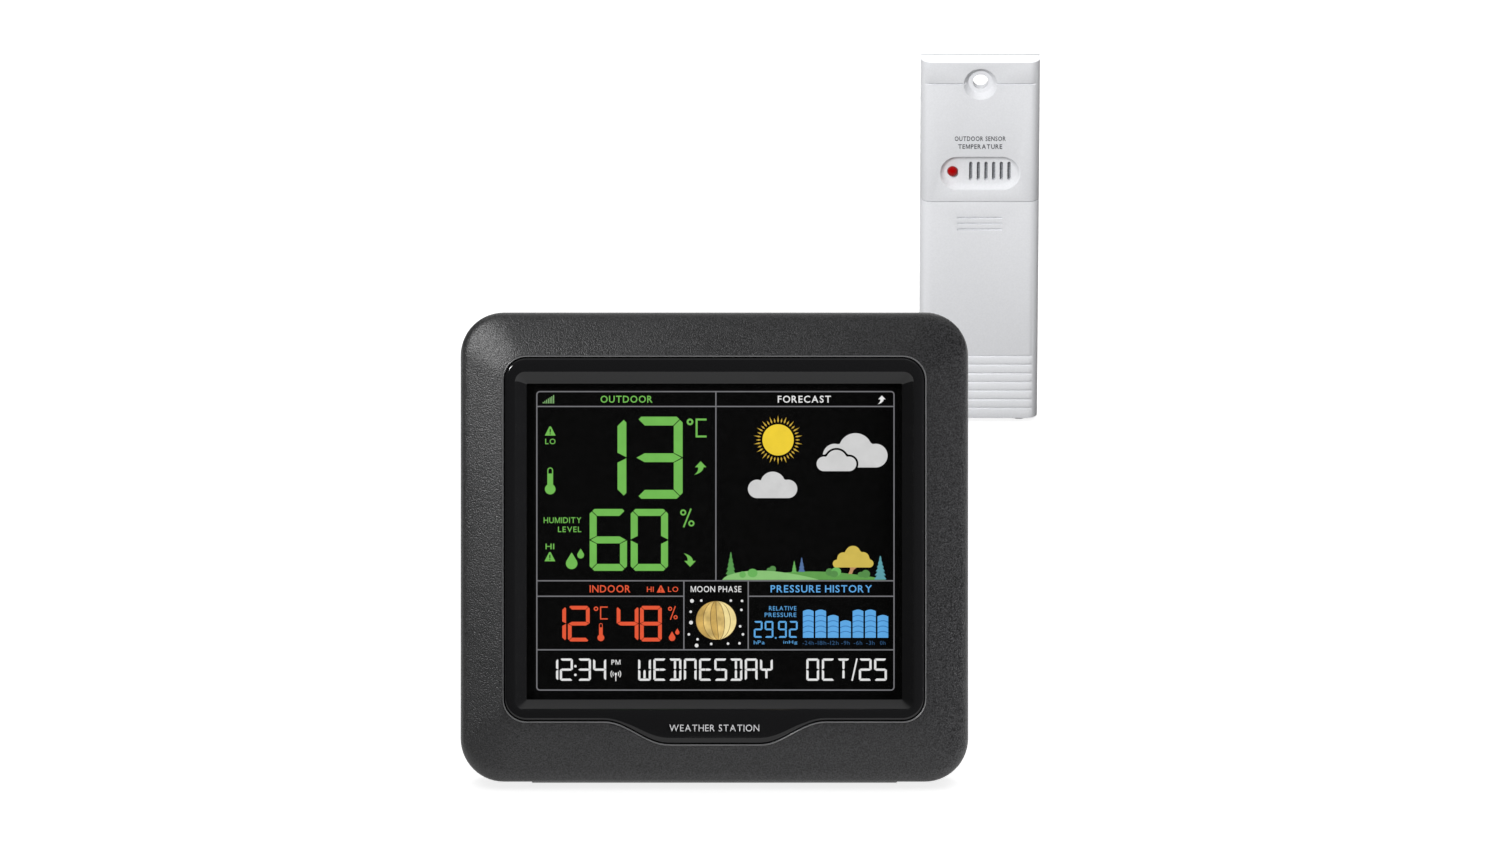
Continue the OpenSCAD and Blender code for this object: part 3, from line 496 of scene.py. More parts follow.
def shell_back_ring(inset, low, depth):
    """A ring round the shell's back edge, a distance in from its outline, with its lower side at low."""
    ring = ring_of(FACE_W / 2 - inset, low, FACE_H - inset, OUTLINE_R - inset)
    return [level_with_foot((x, depth, z)) for x, z in ring]


def make_front_frame():
    """The charcoal front shell: lip, sloping front, side walls and the hollow behind them."""
    starts = starts_of_slope()
    rings = [slope_front_ring(share, sink, starts) for share, sink in LIP_STEPS]
    rings += [slope_front_ring(share, 0, starts) for share in SLOPE_STEPS]
    rings.append(shell_back_ring(0, 0, SHELL_DEPTH - 0.5))
    rings.append(shell_back_ring(0, 0, SHELL_DEPTH - 0.15))
    rings.append(shell_back_ring(BACK_EDGE_R, BACK_EDGE_R, SHELL_DEPTH))
    rings.append(shell_back_ring(SHELL_WALL, CAVITY_LOW, SHELL_DEPTH))
    cavity = ring_of(FACE_W / 2 - SHELL_WALL, CAVITY_LOW, FACE_H - SHELL_WALL, OUTLINE_R - SHELL_WALL)
    rings.append([(x, CAVITY_FRONT, z) for x, z in cavity])
    behind_lip = ring_of(OPENING_HALF + 3, 11, OPENING_HIGH + 3, 9)
    rings.append([(x, SHELL_INSIDE + slope_depth(start), z) for (x, z), start in zip(behind_lip, starts)])
    verts, faces = loft(rings)
    slot = "charcoal_shell"
    piece = add_piece("front_shell", verts, faces, CONSOLE, SLOTS[slot], "console")
    smooth_by_angle(piece, 40)
    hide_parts("front_frame")


BEAD_R = 0.24
BEAD_STEPS = 10
BEAD_SINK = 0.06


def bead_ring(angle):
    """One line round the bead, at an angle of its cross-section."""
    ring = []
    for inner, outer, start in zip(slope_ring(0), slope_ring(1), starts_of_slope()):
        here = start + BEAD_R * (1 + math.cos(angle)) / math.dist(inner, outer)
        x, z = mix(inner, outer, here)
        ring.append((x, slope_depth(start) + BEAD_SINK - BEAD_R * math.sin(angle), z))
    return ring


def make_lip():
    """A smooth bead round the edge of the opening, which catches a thin line of light. Its grey is lighter
    than the shell's charcoal: a painted highlight that makes the line stronger.
    """
    verts, faces = loft([bead_ring(2 * math.pi * k / BEAD_STEPS) for k in range(BEAD_STEPS)])
    add_piece("front_lip", verts, faces, CONSOLE, LIP_WITH_PAINTED_HIGHLIGHT, "console")


WINDOW_HALF = 60.6
WINDOW_LOW = 26.6
WINDOW_HIGH = 128.6
CHAMFER_END = 2.4
WINDOW_SEAT = 3.68
BEZEL_BACK = 4.4
BEZEL_GAP = 0.3
SEAT_W = 2.2
# The rounding of the bezel's outer edge, as (distance in, depth below its face), from the side inwards.
BEZEL_EDGE = [(0, 3.2), (0, 0.9), (0.1, 0.5), (0.3, 0.22), (0.6, 0.07), (1.0, 0), (1.8, -0.03)]
# The chamfer down to the window, as (share of the way down, depth below a straight slope).
CHAMFER_STEPS = [(0.06, 0.1), (0.12, 0.16), (0.94, 0.03)]


def flat_ring(outline, depth):
    """An outline as a ring at one depth."""
    return [(x, depth, z) for x, z in outline]


def bezel_face(z):
    """Depth of the bezel's face at a height: level, and following the shell's slope on the tongue."""
    return slope_depth(1 - z / OPENING_LOW) - BEZEL_PROUD


def bezel_outline():
    """The bezel's outer edge, just inside the opening, with its tongue."""
    low = OPENING_LOW + BEZEL_GAP
    ring = ring_of(OPENING_HALF - BEZEL_GAP, low, OPENING_HIGH - BEZEL_GAP, OPENING_R - BEZEL_GAP)
    return [(x, z - tongue_drop(x)) if z < low + NEARLY else (x, z) for x, z in ring]


def between(outer, inner, share):
    """An outline a share of the way in from one outline to another."""
    return [mix(a, b, share) for a, b in zip(outer, inner)]


def inset(outer, inner, distance):
    """An outline a distance in from one outline towards another."""
    return [mix(a, b, min(1, distance / math.dist(a, b))) for a, b in zip(outer, inner)]


def face_ring(outline, depth):
    """An outline laid on the bezel's face, or a depth below it."""
    return [(x, bezel_face(z) + depth, z) for x, z in outline]


def chamfer_depth(share):
    """Depth of a straight chamfer a share of the way from the bezel's face to the window."""
    return -BEZEL_PROUD + (CHAMFER_END + BEZEL_PROUD) * share


def make_gloss_bezel():
    """The gloss surround with its tongue, its chamfer and the seat behind the window."""
    outer = bezel_outline()
    inner = ring_of(64.3, 23.3, 132.4, 3.2)
    window = ring_of(WINDOW_HALF, WINDOW_LOW, WINDOW_HIGH, 0.4)
    behind = ring_of(WINDOW_HALF + SEAT_W, WINDOW_LOW - SEAT_W, WINDOW_HIGH + SEAT_W, 1)
    back = ring_of(OPENING_HALF - 1, OPENING_LOW + 1, OPENING_HIGH - 1, OPENING_R - 1)
    rings = [flat_ring(back, BEZEL_BACK)]
    rings += [face_ring(inset(outer, inner, distance), depth) for distance, depth in BEZEL_EDGE]
    rings += [face_ring(between(outer, inner, share), -0.02) for share in (0.75, 0.88)]
    rings.append(flat_ring(inner, 0.06 - BEZEL_PROUD))
    for share, sink in CHAMFER_STEPS:
        rings.append(flat_ring(between(inner, window, share), chamfer_depth(share) + sink))
    rings.append(flat_ring(window, CHAMFER_END))
    rings.append(flat_ring(window, WINDOW_SEAT))
    rings.append(flat_ring(behind, WINDOW_SEAT))
    rings.append(flat_ring(behind, BEZEL_BACK))
    verts, faces = loft(rings)
    slot = "gloss_black"
    piece = add_piece("gloss_surround", verts, faces, CONSOLE, SLOTS[slot], "console")
    smooth_by_angle(piece, 28)
    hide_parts("gloss_bezel")


# ---------- the display's picture, in millimetres from its lower left corner ----------

PICTURE_W, PICTURE_H = 114.9, 96.4
PANEL_FRONT = console_span("lcd_panel", BACK)[0]
PANEL_MIDDLE = sum(console_span("lcd_panel", UP)) / 2 + 0.22
LAYER = 0.08
CLEAR_OF_PANEL = 0.02
PICTURE_STRETCH = 1.004
PICTURE_SHIFT = 0.33
PICTURE = CONSOLE @ Matrix.Translation(
    (PICTURE_SHIFT - PICTURE_W * PICTURE_STRETCH / 2, 0, PANEL_MIDDLE - PICTURE_H / 2)
) @ Matrix.Diagonal((PICTURE_STRETCH, 1, 1, 1))


class Artwork:
    """Thin lit shapes of one colour, gathered into one piece."""

    def __init__(self):
        self.verts = []
        self.faces = []

    def add(self, points, layer=0):
        """A flat shape, raised off the panel by a number of layers."""
        back = PANEL_FRONT - CLEAR_OF_PANEL - layer * LAYER
        base, count = len(self.verts), len(points)
        self.verts += [(x, back - LAYER * 0.9, z) for x, z in points]
        self.verts += [(x, back, z) for x, z in points]
        self.faces.append(tuple(base + i for i in range(count)))
        self.faces.append(tuple(base + count + i for i in reversed(range(count))))
        for i in range(count):
            after = (i + 1) % count
            self.faces.append((base + i, base + count + i, base + count + after, base + after))

    def box(self, x0, x1, z0, z1, layer=0):
        """An upright rectangle."""
        self.add([(x0, z0), (x1, z0), (x1, z1), (x0, z1)], layer)

    def disc(self, x, z, radius, layer=0, steps=32):
        """A filled circle."""
        self.add(arc(x, z, radius, 0, 360, steps)[:-1], layer)

    def hoop(self, x, z, radius, width, start=0, end=360, layer=0, steps=28):
        """A ring or part of one, as a band of four-sided shapes."""
        outside = arc(x, z, radius + width / 2, start, end, steps)
        inside = arc(x, z, radius - width / 2, start, end, steps)
        if end - start < 360:
            self.add(outside + inside[::-1], layer)
            return
        for i in range(steps):
            self.add([outside[i], outside[i + 1], inside[i + 1], inside[i]], layer)

    def bar(self, start, end, width, layer=0):
        """A straight stroke between two points."""
        dx, dz = end[0] - start[0], end[1] - start[1]
        length = math.hypot(dx, dz)
        nx, nz = -dz / length * width / 2, dx / length * width / 2
        self.add([(start[0] - nx, start[1] - nz), (end[0] - nx, end[1] - nz),
                  (end[0] + nx, end[1] + nz), (start[0] + nx, start[1] + nz)], layer)

    def make(self, name, material):
        """Turns the shapes into one piece of the display."""
        add_piece(name, self.verts, self.faces, PICTURE, material, "console", smooth=False)


ART = {}


def art(color):
    """The artwork that gathers a colour's shapes."""
    return ART.setdefault(color, Artwork())


def glyph(char, bold):
    """One letter as a mesh: (points, faces), standing on y = 0."""
    curve = bpy.data.curves.new("letter", "FONT")
    curve.body = char
    curve.resolution_u = 3
    curve.offset = bold
    curve.extrude = 0.5
    letter = bpy.data.objects.new("letter", curve)
    bpy.context.scene.collection.objects.link(letter)
    bpy.context.view_layer.update()
    mesh = bpy.data.meshes.new_from_object(letter.evaluated_get(bpy.context.evaluated_depsgraph_get()))
    points = [v.co.copy() for v in mesh.vertices]
    faces = [tuple(p.vertices) for p in mesh.polygons]
    bpy.data.objects.remove(letter)
    bpy.data.meshes.remove(mesh)
    bpy.data.curves.remove(curve)
    return points, faces


LETTER_GAP = 0.14
WORD_GAP = 0.3


def letter_m(bold):
    """A capital M, whose sharp inner corners the font's own thickening would spoil."""
    height, middle, stem = 0.69, 0.36, 0.085 + 2 * bold
    half = [(stem * 0.45, 0), (middle - stem, height - 0.16), (middle - stem, 0), (middle, 0),
            (middle, height), (middle - stem * 1.35, height)]
    shape = [(middle - x, y) for x, y in reversed(half)] + [(middle + x, y) for x, y in half]
    shape.append((middle, stem * 1.5))
    count = len(shape)
    points = [Vector((x, y, z)) for z in (-0.5, 0.5) for x, y in shape]
    faces = [tuple(range(count))[::-1], tuple(range(count, 2 * count))]
    faces += [(i, (i + 1) % count, (i + 1) % count + count, i + count) for i in range(count)]
    return points, faces


def letters(text, x0, x1, z0, z1, bold):
    """A word as a mesh that fills the box x0..x1, z0..z1: (points, faces).

    A point is (x, z, height), with a height from -0.5 to 0.5 across the letter's thickness."""
    points, faces = [], []
    edge = 0.0
    for char in text:
        if char == " ":
            edge += WORD_GAP
            continue
        outline, sides = letter_m(bold) if char == "M" else glyph(char, bold)
        shift = edge - min(p.x for p in outline)
        faces += [tuple(len(points) + i for i in side) for side in sides]
        points += [Vector((p.x + shift, p.y, p.z)) for p in outline]
        edge = max(p.x for p in points) + LETTER_GAP
    low_x, high_x = min(p.x for p in points), max(p.x for p in points)
    low_y, high_y = min(p.y for p in points), max(p.y for p in points)
    placed = [(x0 + (p.x - low_x) / (high_x - low_x) * (x1 - x0),
               z0 + (p.y - low_y) / (high_y - low_y) * (z1 - z0), p.z) for p in points]
    return placed, faces


def write(color, text, x0, x1, z0, z1, bold):
    """Writes a word on the display, filling a box."""
    target = art(color)
    points, faces = letters(text, x0, x1, z0, z1, bold)
    base = len(target.verts)
    back = PANEL_FRONT - CLEAR_OF_PANEL
    target.verts += [(x, back - LAYER * (0.45 + 0.9 * height), z) for x, z, height in points]
    target.faces += [tuple(base + i for i in face) for face in faces]


SEGMENTS_OF = {
    "0": "abcdef", "1": "bc", "2": "abged", "3": "abgcd", "4": "fgbc", "5": "afgcd", "6": "afgedc",
    "8": "abcdefg", "9": "abfgcd", "W": "fedcbl", "E": "afhed", "D": "abcdil", "N": "efabc", "S": "afhcd",
    "A": "efabch", "Y": "fhbl", "O": "abcdef", "C": "afed", "T": "ail",
}


def segment_shapes(width, height, thick, gap):
    """Every segment's shapes: a to g as usual, h for g split in the middle, i and l the middle uprights."""
    middle = height / 2
    half_w = width / 2
    half_t = thick / 2
    nick = gap * 0.6
    cut = thick * 0.3
    shoulder = thick + nick * 0.5
    top_left = [(thick + nick, height - thick), (cut + nick, height - cut), (2 * cut + nick, height)]
    bar_left = [(shoulder, middle - half_t), (nick * 2, middle), (shoulder, middle + half_t)]
    upright = [(0, middle + nick), (0, height - 2 * cut - nick), (cut, height - cut - nick),
               (thick, height - thick - nick), (thick, middle + half_t + nick)]
    centre = [(half_w - half_t, height - thick - gap), (half_w + half_t, height - thick - gap),
              (half_w + half_t, middle + half_t + nick), (half_w, middle + nick),
              (half_w - half_t, middle + half_t + nick)]

    def across(shape):
        return [(width - x, z) for x, z in reversed(shape)]

    def upside(shape):
        return [(x, height - z) for x, z in reversed(shape)]

    top = top_left + across(top_left)
    half_bar = bar_left + [(half_w - nick, middle + half_t), (half_w - nick, middle - half_t)]
    return {
        "a": [top], "b": [across(upright)], "c": [upside(across(upright))], "d": [upside(top)],
        "e": [upside(upright)], "f": [upright], "g": [bar_left + across(bar_left)],
        "h": [half_bar, across(half_bar)], "i": [centre], "l": [upside(centre)],
    }


def character(color, char, x, z, width, height, thick, gap):
    """A segmented character with its lower left corner at x, z."""
    shapes = segment_shapes(width, height, thick, gap)
    for segment in SEGMENTS_OF[char]:
        for shape in shapes[segment]:
            art(color).add([(x + px, z + pz) for px, pz in shape])


def curve_points(start, bend, end, steps=6):
    """A quadratic curve's points, without its first."""
    points = []
    for i in range(1, steps + 1):
        share = i / steps
        points.append(mix(mix(start, bend, share), mix(bend, end, share), share))
    return points


def trend_arrow(color, x, z, size, down=False):
    """An arrow whose tail curves in from the left."""
    shape = [(0, 1), (0.88, 0.08), (0.45, 0.08)]
    shape += curve_points((0.45, 0.08), (0.35, -0.75), (-1, -1.1))
    shape += curve_points((-1, -1.1), (-0.25, -0.55), (-0.4, 0.08))
    shape.append((-0.88, 0.08))
    side = -1 if down else 1
    art(color).add([(x + px * size, z + side * pz * size) for px, pz in shape])


def warning(color, x, z, size):
    """A triangle with a dark exclamation mark, standing on z."""
    art(color).add([(x - size * 0.56, z), (x + size * 0.56, z), (x + size * 0.08, z + size * 0.95),
                    (x - size * 0.08, z + size * 0.95)])
    art("black").box(x - size * 0.06, x + size * 0.06, z + size * 0.32, z + size * 0.68, 1)
    art("black").box(x - size * 0.06, x + size * 0.06, z + size * 0.12, z + size * 0.23, 1)


def drop(color, x, z, radius):
    """A water drop whose round end is centred on x, z."""
    shape = arc(x, z, radius, 150, 390, 16)
    shape.append((x + 0.12 * radius, z + 1.75 * radius))
    shape.append((x, z + 1.9 * radius))
    shape.append((x - 0.12 * radius, z + 1.75 * radius))
    art(color).add(shape)


def thermometer(color, x, z, height, bulb):
    """A thermometer whose bulb's centre is at x, z, filled to a little over half."""
    stem = bulb * 0.54
    half_line = stem * 0.18
    filled = z + height * 0.58
    top = z + height - bulb - stem
    art(color).disc(x, z, bulb)
    art(color).box(x - stem, x + stem, z + bulb * 0.8, filled)
    art(color).hoop(x, top, stem - half_line, 2 * half_line, 0, 180)
    for wall in (x - stem + half_line, x + stem - half_line):
        art(color).box(wall - half_line, wall + half_line, filled, top)


def cloud(color, x, z, lumps, layer, grow=0.0, steps=44):
    """A flat-bottomed cloud over z from lumps of (centre x, centre height, radius)."""
    lumps = [(x + cx, z + cz, radius + grow) for cx, cz, radius in lumps]
    left = min(cx - radius for cx, cz, radius in lumps)
    right = max(cx + radius for cx, cz, radius in lumps)
    top, bottom = [], []
    for i in range(steps + 1):
        px = left + (right - left) * (1 - math.cos(math.pi * i / steps)) / 2
        reach = [(cz, math.sqrt(max(0, radius ** 2 - (px - cx) ** 2)))
                 for cx, cz, radius in lumps if abs(px - cx) <= radius + 1e-9]
        top.append((px, max(cz + h for cz, h in reach)))
        inside = lumps[0][0] <= px <= lumps[-1][0]
        bottom.append((px, z - grow if inside else max(z - grow, min(cz - h for cz, h in reach))))
    art(color).add(bottom + top[::-1][1:-1], layer)


def pine(color, x, z, half, height, tiers=5, layer=1):
    """A conifer of drooping tiers standing on z, a little fuller than a cone."""
    side = []
    for i in range(tiers):
        wide = half * (1 - (i / tiers) ** 1.25)
        above = half * (1 - ((i + 1) / tiers) ** 1.25)
        side += [(wide, height * (i + 0.1) / tiers), (above * 0.64, height * (i + 1) / tiers)]
    side[-1] = (half * 0.07, height)
    shape = [(x + px, z + pz) for px, pz in side] + [(x - px, z + pz) for px, pz in reversed(side)]
    art(color).add([(x + half * 0.8, z)] + shape + [(x - half * 0.8, z)], layer)


def draw_lines():
    """The thin lines between the display's fields."""
    line = art("line")
    half = 0.19
    corner = 1.0
    w, h = PICTURE_W, PICTURE_H
    for cx, cz, start in ((w - corner, h - corner, 0), (corner, h - corner, 90), (corner, corner, 180),
                          (w - corner, corner, 270)):
        line.hoop(cx, cz, corner, 2 * half, start, start + 90, steps=8)
    for z in (0, h):
        line.box(corner, w - corner, z - half, z + half)
    for x in (0, w):
        line.box(x - half, x + half, corner, h - corner)
    for x0, x1, z in ((0, w, 91.6), (0, w, 35.3), (0, 47.3, 30.3), (68, w, 30.3), (0, w, 13)):
        line.box(x0 + half, x1 - half, z - half, z + half)
    line.box(57.6 - half, 57.6 + half, 35.3 + half, h - half)
    for x in (47.3, 68):
        line.box(x - half, x + half, 13 + half, 35.3 - half)


def draw_outdoor():
    """The outdoor readings, top left."""
    for i in range(7):
        art("pale_green").box(1.9 + 0.56 * i, 2.18 + 0.56 * i, 92.6, 93.0 + 0.38 * i)
    write("green", "OUTDOOR", 20.5, 37.2, 92.8, 95.1, 0.014)
    for char, right in (("1", 28.8), ("3", 46.9)):
        character("green", char, right - 15.2, 61.8, 15.2, 26.5, 2.85, 0.3)
    for char, left in (("6", 17.0), ("0", 30.2)):
        character("green", char, left, 38.5, 12.0, 20.0, 2.25, 0.28)
    degree("green", 48.2, 87.7, 6.4, 6.1, 0.62)
    trend_arrow("green", 52.7, 71.8, 2.1)
    warning("green", 4.3, 82.2, 3.1)
    write("green", "LO", 2.7, 6.0, 79.4, 81.2, 0.01)
    thermometer("green", 4.3, 64.9, 8.7, 1.7)
    write("green", "HUMIDITY", 2.2, 14.3, 53.9, 55.8, 0.008)
    write("green", "LEVEL", 6.8, 14.3, 51.0, 52.8, 0.008)
    write("green", "HI", 2.8, 5.6, 45.5, 47.3, 0.01)
    warning("green", 4.2, 41.6, 3.1)
    drop("green", 11.2, 40.9, 1.85)
    drop("green", 14.1, 43.6, 1.1)
    percent("green", 46.1, 52.6, 4.6, 6.0, 0.5)
    trend_arrow("green", 49.3, 41.9, 2.1, down=True)


def degree(color, x, top, width, height, thick):
    """A small ring and a square-cornered C."""
    radius = width * 0.12
    art(color).hoop(x + radius + thick / 2, top - radius - thick / 2, radius, thick)
    left = x + width * 0.45
    art(color).box(left, left + thick, top - height, top)
    for z in (top - thick, top - height):
        art(color).box(left + thick, x + width, z, z + thick)


def percent(color, x, z, width, height, thick):
    """A percent sign with its lower left corner at x, z."""
    art(color).bar((x + width * 0.24, z), (x + width * 0.76, z + height), thick)
    radius = width * 0.16
    art(color).hoop(x + radius + thick / 2, z + height - radius - thick, radius, thick)
    art(color).hoop(x + width - radius - thick / 2, z + radius + thick, radius, thick)


def draw_forecast():
    """The forecast picture, top right: sun, clouds and a strip of country."""
    write("white", "FORECAST", 77.5, 94.6, 92.8, 95.1, 0.014)
    trend_arrow("white", 111.0, 93.8, 1.35)
    sun_x, sun_z = 77.6, 80.8
    art("sun").disc(sun_x, sun_z, 5.05, steps=48)
    rays = 36
    for i in range(rays):
        angle = 2 * math.pi * i / rays
        reach = 7.95 if i % 2 == 0 else 7.1
        out = Vector((math.sin(angle), math.cos(angle)))
        side = Vector((out.y, -out.x)) * 0.26
        centre = Vector((sun_x, sun_z))
        widest = centre + out * 6.2
        art("ray").add([tuple(centre + out * 5.55), tuple(widest + side), tuple(centre + out * reach),
                        tuple(widest - side)])
    cloud("cloud", 67.9, 62.0, [(2.98, 2.98, 2.98), (8.0, 4.5, 4.05), (12.9, 2.98, 2.98)], 0)
    cloud("cloud", 92.0, 71.9, [(3.83, 3.83, 3.83), (10.5, 5.65, 5.44), (17.0, 3.83, 3.83)], 0)
    front = [(2.36, 2.36, 2.36), (6.4, 3.47, 3.4), (10.44, 2.36, 2.36)]
    cloud("black", 90.0, 70.7, front, 1, 0.65)
    cloud("cloud", 90.0, 70.7, front, 2)
    draw_country(35.6)


def hill(color, left, right, ground, height, lean, layer, steps=36):
    """A hill whose top lies a share of the way along, given by lean (below 1 puts it to the left)."""
    outline = [(left, ground)]
    for i in range(1, steps):
        rise = math.sin(math.pi * (i / steps) ** lean) ** 0.85
        outline.append((left + (right - left) * i / steps, ground + height * rise))
    art(color).add(outline + [(right, ground)], layer)


# (colour, x, height over the ground, half width, half height, layer)
BUSHES = [
    ("leaf", 66.2, 1.7, 1.05, 1.05, 3), ("leaf", 69.4, 2.2, 1.6, 1.4, 3), ("bush", 74.7, 3.1, 0.8, 0.8, 1),
    ("bush", 75.9, 3.5, 1.05, 1.0, 1), ("bush", 94.2, 2.5, 1.3, 1.2, 3), ("leaf", 96.3, 2.6, 1.6, 1.5, 4),
    ("bush", 95.6, 1.9, 1.3, 1.1, 5), ("bush", 104.3, 1.7, 1.1, 0.9, 3), ("bush", 105.8, 1.9, 1.4, 1.3, 3),
]


def draw_country(ground):
    """Hills, bushes and trees along the bottom of the forecast."""
    hill("hill", 66, 112.4, ground, 2.7, 0.95, 1)
    hill("meadow", 59.6, 90.8, ground, 3.0, 0.72, 2)
    pine("pine", 62.4, ground + 0.3, 1.8, 8.6, 6, 1)
    for color, x, z, wide, high, layer in BUSHES:
        shape = [(x + wide * px, ground + z + high * pz) for px, pz in arc(0, 0, 1, 0, 360, 20)[:-1]]
        art(color).add(shape, layer)
    pine("leaf", 82.8, ground + 2.4, 0.85, 3.7, 4, 2)
    pine("spruce", 85.2, ground + 2.6, 1.05, 4.6, 4, 2)
    trunk = [(100.2, 1.9), (101.4, 1.9), (101.9, 3.2), (103.4, 4.4), (102.9, 4.8), (101.4, 3.9), (101.0, 4.8),
             (100.6, 4.8), (100.8, 3.4)]
    art("trunk").add([(x, ground + z) for x, z in trunk], 6)
    crown = [(1.3, 1.2, 1.3), (3.4, 2.9, 2.0), (6.5, 4.5, 2.5), (9.7, 2.9, 2.1), (11.8, 1.3, 1.3)]
    cloud("gold", 95.2, ground + 4.0, crown, 7)
    pine("teal", 110.5, ground + 0.1, 1.95, 7.6, 6, 4)


def draw_indoor():
    """The indoor readings, in the middle row."""
    write("orange", "INDOOR", 17.0, 30.1, 31.5, 33.9, 0.012)
    write("orange", "HI", 35.4, 37.6, 31.7, 33.4, 0.01)
    warning("orange", 39.9, 31.5, 2.4)
    write("orange", "LO", 42.2, 45.5, 31.7, 33.4, 0.01)
    for char, right in (("1", 9.4), ("2", 17.0), ("4", 32.7), ("8", 40.2)):
        character("orange", char, right - 7.0, 15.7, 7.0, 11.5, 1.2, 0.16)
    degree("orange", 18.3, 27.0, 4.5, 4.2, 0.38)
    thermometer("orange", 20.6, 16.9, 5.8, 1.1)
    percent("orange", 42.2, 22.7, 3.1, 4.4, 0.34)
    drop("orange", 43.5, 16.9, 1.05)
    drop("orange", 45.2, 18.6, 0.68)


MOON_X, MOON_Z, MOON_R, MOON_RISE = 57.7, 22.5, 6.55, 6.25
# Where each slice starts, as a share of the moon's half width, and its colour.
MOON_SLICES = [(-1, "moon_dark"), (-0.66, "moon"), (-0.33, "moon_dark"), (-0.04, "moon"),
               (0.36, "moon_light"), (0.67, "moon_light"), (1, None)]
STARS = [(-7.8, 6.3), (-4.8, 6.4), (4.7, 6.4), (8.3, 6.3), (-8.2, 2.8), (8.1, 3.4), (-8.1, -0.7), (7.7, -1.9),
         (-8.8, -4.5), (8.6, -4.5), (-6.0, -6.1), (-6.3, -8.1), (-1.6, -7.6), (3.8, -7.5), (7.5, -7.4)]
BIG_STARS = (0, 6, 11)


def meridian(share, steps=20):
    """Points down the moon from its top, along the line a share of the way out from its middle."""
    angles = [math.pi * k / steps for k in range(steps + 1)]
    return [(MOON_X + MOON_R * share * math.sin(a) + 0.5 * (1 - math.cos(a)) * (1 - abs(share)),
             MOON_Z + MOON_RISE * math.cos(a)) for a in angles]


def draw_moon():
    """The moon, in upright slices that each stand for a day of its phase, and stars about it."""
    write("white", "MOON PHASE", 49.5, 65.8, 31.6, 33.6, 0.006)
    line = 0.1
    for (left, color), (right, _) in zip(MOON_SLICES, MOON_SLICES[1:]):
        near = [(px + line, pz) for px, pz in meridian(left)]
        far = [(px - line, pz) for px, pz in meridian(right)]
        art(color).add(near[1:-1] + far[1:-1][::-1], 1)
    art("moon_line").add(meridian(-1)[:-1] + meridian(1)[:0:-1], 0)
    for i, (dx, dz) in enumerate(STARS):
        art("white").disc(MOON_X + dx, MOON_Z + dz, 0.62 if i in BIG_STARS else 0.42, steps=12)


PRESSURE_BARS = [(5, "-24h"), (5, "-18h"), (4, "-12h"), (3, "-9h"), (5, "-6h"), (5, "-3h"), (4, "0h")]


def draw_pressure():
    """The pressure reading and the bars of its last day."""
    write("blue", "PRESSURE HISTORY", 75.2, 107.8, 31.5, 33.9, 0.012)
    write("blue", "RELATIVE", 74.7, 83.5, 25.7, 27.1, 0.0)
    write("blue", "PRESSURE", 73.3, 83.5, 23.6, 25.0, 0.0)
    for char, left in (("2", 69.8), ("9", 73.3), ("9", 77.6), ("2", 81.1)):
        character("blue", char, left, 16.9, 2.8, 5.4, 0.55, 0.08)
    art("blue").box(76.6, 77.1, 16.6, 17.1)
    write("blue", "hPa", 69.8, 73.3, 14.8, 16.0, 0)
    write("blue", "inHg", 79.3, 83.8, 14.7, 16.0, 0)
    for i, (levels, label) in enumerate(PRESSURE_BARS):
        left = 85.6 + 4.0 * i
        draw_bar(left, 16.9, 3.45, levels)
        half = 0.45 * len(label)
        write("dim_blue", label, left + 1.7 - half, left + 1.7 + half, 14.6, 15.9, 0)


def draw_bar(x, z, width, levels):
    """A bar of the pressure's history: a domed column, with a darker curve between one level and the next."""
    rise, steps, slab, line = 0.5, 10, 1.72, 0.3
    dome = [(x + width * i / steps, rise * math.sin(math.pi * i / steps)) for i in range(steps + 1)]
    top = z + levels * slab
    art("blue").add([(x, z), (x + width, z)] + [(px, top + up) for px, up in dome[::-1]])
    for level in range(1, levels):
        curve_z = z + level * slab
        under = [(px, curve_z + up - line) for px, up in dome]
        over = [(px, curve_z + up) for px, up in dome[::-1]]
        art("deep_blue").add(under + over, 1)


def draw_clock():
    """The bottom row: the time, the day and the date."""
    low, height, thick = 3.0, 7.2, 0.72
    for char, left in (("1", 2.7), ("2", 7.4), ("3", 13.2), ("4", 18.1)):
        character("white", char, left, low, 4.2, height, thick, 0.1)
    for z in (4.9, 7.7):
        art("white").disc(12.4, z, 0.42, steps=12)
    write("white", "PM", 24.0, 26.9, 8.2, 9.8, 0.01)
    art("white").bar((25.4, 2.9), (25.4, 5.2), 0.3)
    art("white").disc(25.4, 5.2, 0.4, steps=12)
    for radius in (0.95, 1.6):
        for start in (-40, 140):
            art("white").hoop(25.4, 5.2, radius, 0.26, start, start + 80, steps=8)
    for i, char in enumerate("WEDNESDAY"):
        character("white", char, 32.6 + 4.9 * i, low, 4.1, height, thick, 0.1)
    for char, left in (("O", 86.7), ("C", 91.7), ("T", 96.6), ("2", 103.6), ("5", 108.5)):
        character("white", char, left, low, 4.1, height, thick, 0.1)
    art("white").bar((101.4, low), (103.0, low + height), 0.5)


def make_picture():
    """The whole display, with one piece for each colour."""
    draw_lines()
    draw_outdoor()
    draw_forecast()
    draw_indoor()
    draw_moon()
    draw_pressure()
    draw_clock()
    for color, artwork in ART.items():
        artwork.make("display_" + color, DISPLAY[color])


# ---------- printed words ----------

PRINT_PROUD = 0.04
BEZEL_WORD = ("WEATHER STATION", 14.5)
SENSOR_WORDS = {"sensor_print_a": ("OUTDOOR SENSOR", 8.6), "sensor_print_b": ("TEMPERATURE", 7.4)}
SENSOR_WORD_LOW = 104.1
SENSOR_WORD_H = 1.7
SENSOR_WORD_STEP = 2.9


